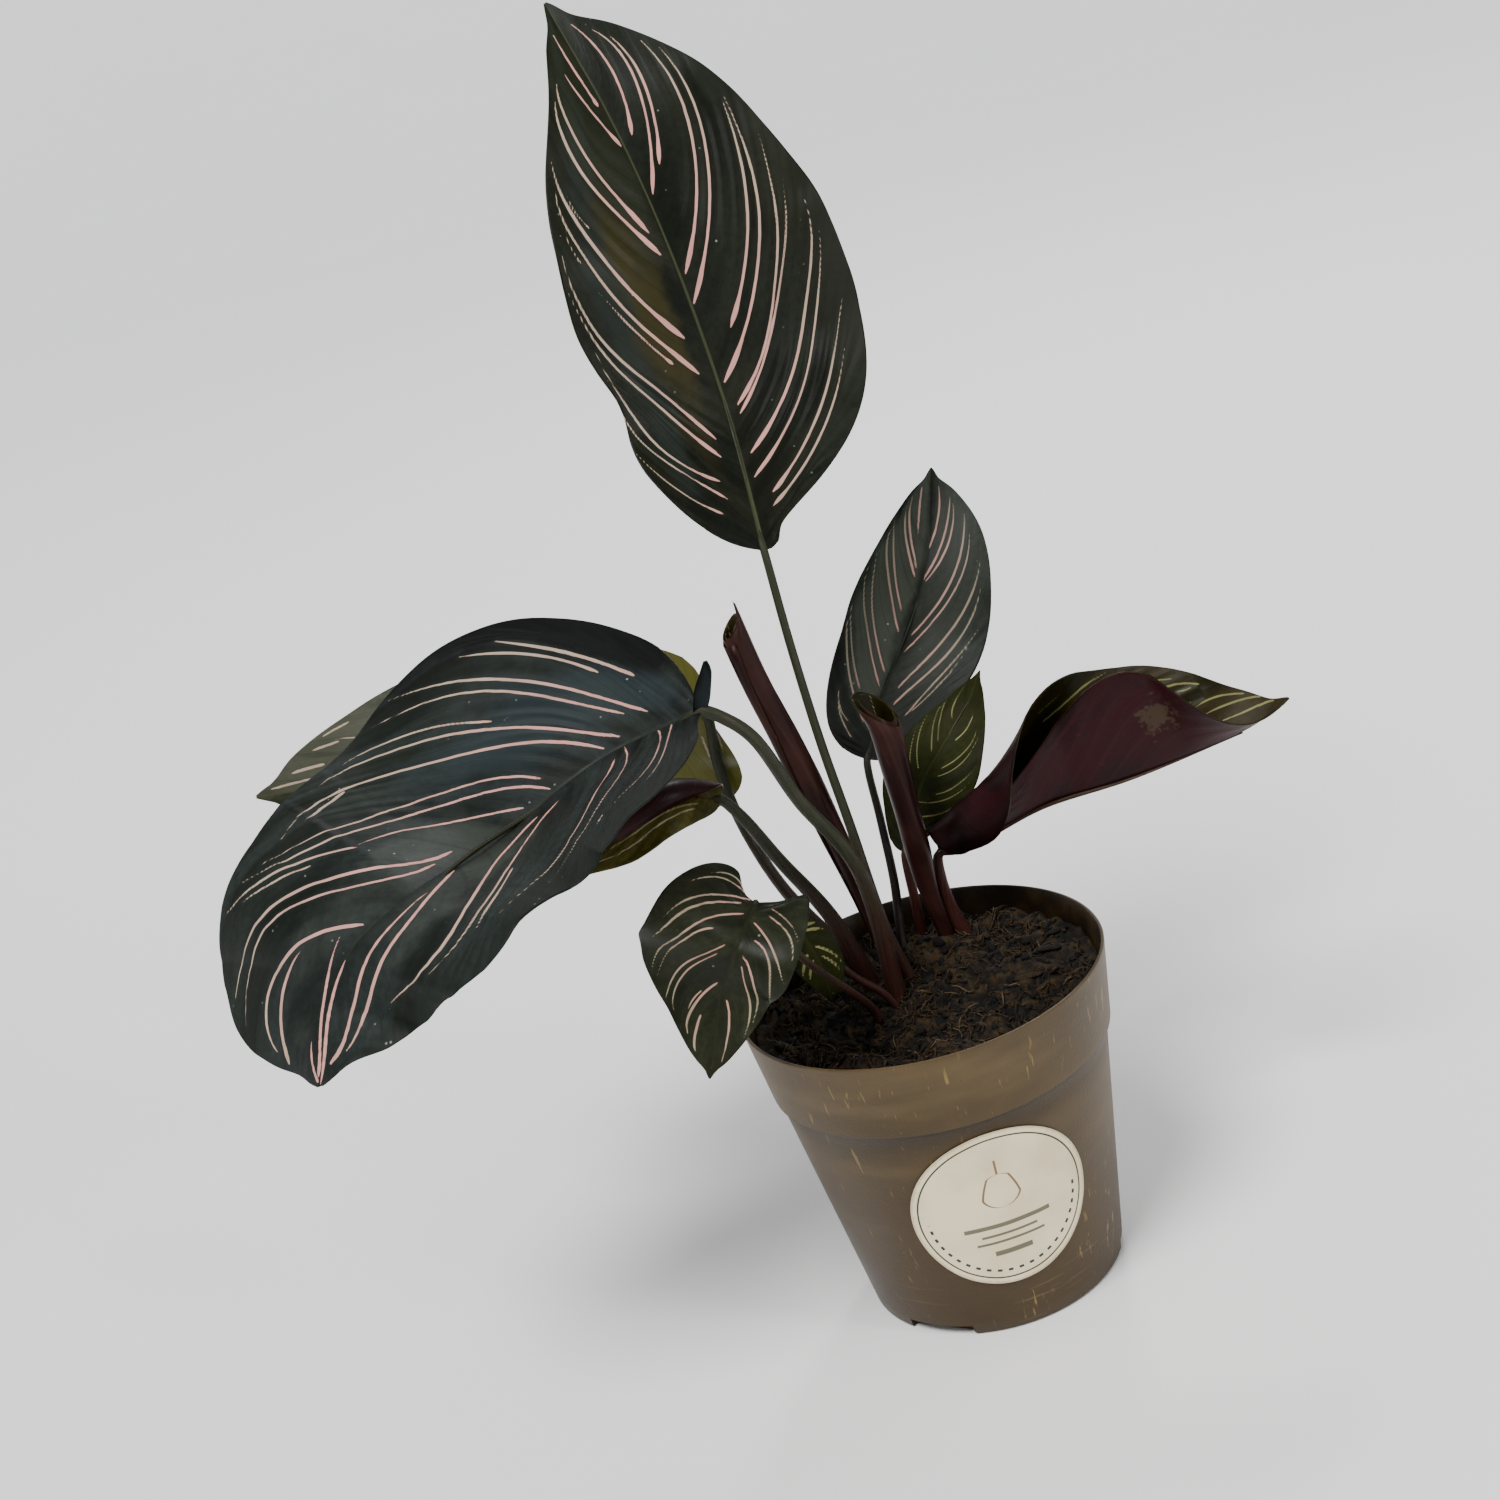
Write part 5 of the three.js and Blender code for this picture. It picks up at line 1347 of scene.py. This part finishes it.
def face_materials():
    """Upper faces. A region: from and to side vein, inner and outer share, tone and strength."""
    return {
        "tall": leaf_face(
            "face_tall", rgb(34, 38, 28), rgb(52, 56, 44), rgb(60, 58, 38), PINK, CREAM, rgb(90, 94, 70),
            regions=(
                (94, 110, 0.2, 0.6, rgb(80, 74, 44), 0.45),
                (122, 160, 0.15, 0.6, rgb(86, 80, 44), 0.65),
                (-20, 60, 0.0, 0.8, rgb(26, 30, 20), 0.5),
                # Painted sheen: a bluish band towards the left margin.
                (40, 200, 0.5, 0.8, rgb(62, 70, 66), 0.55),
                (165, 200, 0.0, 1.0, rgb(66, 70, 52), 0.45),
                (300, 420, 0.0, 0.5, rgb(30, 33, 20), 0.6),
                (360, 480, 0.8, 1.2, rgb(62, 66, 56), 0.4),
            # Painted highlight along the right margin.
            ),
        ),
        "left": leaf_face(
            "face_left", rgb(32, 39, 33), rgb(60, 68, 66), rgb(58, 62, 48), PINK, CREAM, rgb(56, 62, 52),
            rough=0.46,
            regions=(
                (300, 372, 0.45, 1.2, rgb(6, 7, 3), 0.92),
                # Painted sheen: a bluish reflection over the middle of the right half.
                (340, 430, 0.15, 0.6, rgb(70, 82, 86), 0.45),
                # Painted highlights at the bend, on both halves.
                (450, 464, 0.0, 0.35, rgb(112, 116, 108), 0.35),
                (150, 164, 0.0, 0.4, rgb(112, 116, 108), 0.35),
                (0, 200, 0.75, 1.2, rgb(38, 44, 34), 0.5),
                (-20, 26, 0.0, 0.6, rgb(34, 36, 30), 0.7),
            ),
        ),
        "mid": leaf_face(
            "face_mid", rgb(36, 41, 33), rgb(68, 74, 66), rgb(64, 64, 50), DULL_PINK, DULL_CREAM,
            rgb(50, 54, 44), rough=0.46,
            regions=(
                (300, 352, -0.2, 1.2, rgb(30, 33, 24), 0.5),
                (-20, 36, -0.2, 1.2, rgb(22, 24, 16), 0.7),
                # Painted sheen over the left half.
                (46, 104, 0.1, 0.9, rgb(102, 106, 96), 0.5),
                # A faint painted sheen on the right half.
                (372, 398, 0.2, 0.8, rgb(60, 64, 56), 0.5),
            ),
        ),
        "back": leaf_face(
            "face_back", rgb(56, 60, 46), rgb(96, 98, 84), rgb(84, 82, 54), CREAM, CREAM, rgb(96, 94, 64),
            regions=(
                (-20, 70, -0.2, 1.2, rgb(124, 122, 60), 0.85),
                (300, 366, -0.2, 1.2, rgb(106, 104, 50), 0.85),
                # Painted sheen: a pale streak in the middle of the lobe.
                (-20, 24, 0.4, 0.6, rgb(156, 156, 140), 0.7),
                (420, 460, -0.2, 1.2, rgb(110, 112, 98), 0.6),
            ),
        ),
        "low": leaf_face(
            "face_low", rgb(80, 78, 42), rgb(110, 106, 62), rgb(84, 66, 42), GREEN_CREAM, CREAM,
            rgb(84, 78, 48), 0.5,
        ),
        "green": leaf_face(
            "face_green", rgb(45, 49, 14), rgb(61, 65, 20), rgb(68, 66, 22), GREEN_CREAM, GREEN_PALE,
            rgb(70, 73, 40), 0.4, 0.65,
        ),
        "front": leaf_face(
            "face_front", rgb(42, 47, 32), rgb(64, 67, 49), rgb(66, 62, 42), FRONT_PINK, FRONT_CREAM,
            rgb(58, 58, 44),
        ),
        "inside": leaf_face(
            "face_inside", rgb(46, 43, 18), rgb(70, 62, 26), rgb(80, 62, 28), GREEN_CREAM, GREEN_PALE,
            rgb(66, 66, 38), 0.5,
        ),
    }


def dress_plant():
    """Every leaf with its upper face, its lower face and its stalk."""
    faces = face_materials()
    worn_patch = ((0.0952, 0.0215, 0.1655), 0.0085, rgb(104, 94, 74))
    purple = leaf_back("underside_dark", rgb(48, 20, 22), rgb(68, 33, 35), rgb(96, 60, 58))
    wine = leaf_back(
        "underside_right", rgb(44, 17, 20), rgb(72, 27, 35), rgb(92, 46, 52), foot=0.75, patch=worn_patch
    )
    pale = leaf_back("underside_green", rgb(52, 50, 30), rgb(78, 70, 44), rgb(110, 100, 70))
    skin = leaf_back("spear_skin", rgb(56, 32, 30), rgb(78, 52, 46), rgb(110, 84, 72), 0.4)
    olive = stalk("stalk_olive", rgb(80, 52, 44), rgb(66, 69, 50))
    brown = stalk("stalk_brown", rgb(84, 48, 42), rgb(72, 64, 42))
    black = stalk("stalk_dark", rgb(46, 30, 24), rgb(46, 46, 32))
    dress = {
        "leaf_tall": ("tall", purple, olive, "leaf_dark"),
        "leaf_left": ("left", purple, olive, "leaf_dark"),
        "leaf_back": ("back", pale, olive, "leaf_dark"),
        "leaf_low": ("low", purple, olive, "leaf_dark"),
        "leaf_mid": ("mid", purple, black, "leaf_dark"),
        "leaf_small": ("green", pale, brown, "leaf_green"),
        "leaf_right": ("inside", wine, brown, "leaf_purple"),
        "leaf_front": ("front", purple, olive, "leaf_dark"),
        "leaf_hidden": ("green", pale, olive, "leaf_green"),
    }
    for number, (name, leaf) in enumerate(LEAVES.items()):
        face, under, stem, slot = dress[name]
        make_leaf(name, leaf, 40 + number, [faces[face], under, stem])
    for name, roll in ROLLED_LEAVES.items():
        make_roll(name, roll, [faces["inside"], skin])


# Floor, light and camera.


def aim(direction):
    """Angles that turn a lamp to face in a direction."""
    return Vector(direction).to_track_quat("-Z", "Y").to_euler()


def make_floor():
    """A pale floor, level round the plant and rising gently far behind it."""
    n = Paint("floor", 0.8, 0.2)
    cloud = n.noise(n.place, 3)
    colour = n.mix(cloud, (0.93, 0.93, 0.92, 1), (0.95, 0.95, 0.94, 1))
    material = n.finish(colour, n.ramp(cloud, 0.3, 0.7, 0.78, 0.82), cloud, 0.0001)
    lines = ((-9, 0), (4, 0), (8, 0.6), (14, 2.5), (30, 10), (80, 42))
    points = [(x, y, z) for y, z in lines for x in (-90, 90)]
    faces = [(2 * k, 2 * k + 1, 2 * k + 3, 2 * k + 2) for k in range(len(lines) - 1)]
    mesh = bpy.data.meshes.new("floor")
    mesh.from_pydata(points, [], faces)
    mesh.polygons.foreach_set("use_smooth", [True] * len(faces))
    mesh.materials.append(material)
    link("floor", mesh)


def make_light():
    """A large soft key light from the front left, and two weak soft lamps."""
    world = bpy.data.worlds.new("studio")
    world.use_nodes = True
    sky = world.node_tree.nodes["Background"].inputs
    sky["Color"].default_value = (0.95, 0.97, 1.0, 1)
    sky["Strength"].default_value = 0.42
    bpy.context.scene.world = world
    key = bpy.data.lights.new("key", "SUN")
    key.energy = 3.1
    key.angle = math.radians(24)
    link("key", key, angles=aim((0.5, 0.75, -1.5)))
    for name, place, power in (("fill", (1.2, -1.0, 0.9), 8), ("back", (0.4, 1.3, 1.5), 10)):
        lamp = bpy.data.lights.new(name, "AREA")
        lamp.energy = power
        link(name, lamp, place, aim(Vector((0, 0, 0.2)) - Vector(place)))


def make_camera():
    """The camera at the photograph's place and angle."""
    lens = bpy.data.cameras.new("camera")
    lens.lens = LENS
    lens.sensor_width = SENSOR
    angles = [math.radians(a) for a in CAMERA_ANGLES]
    bpy.context.scene.camera = link("camera", lens, CAMERA_PLACE, angles)


dress_plant()
make_pot()
make_mix()
make_sticker()
make_floor()
make_light()
make_camera()
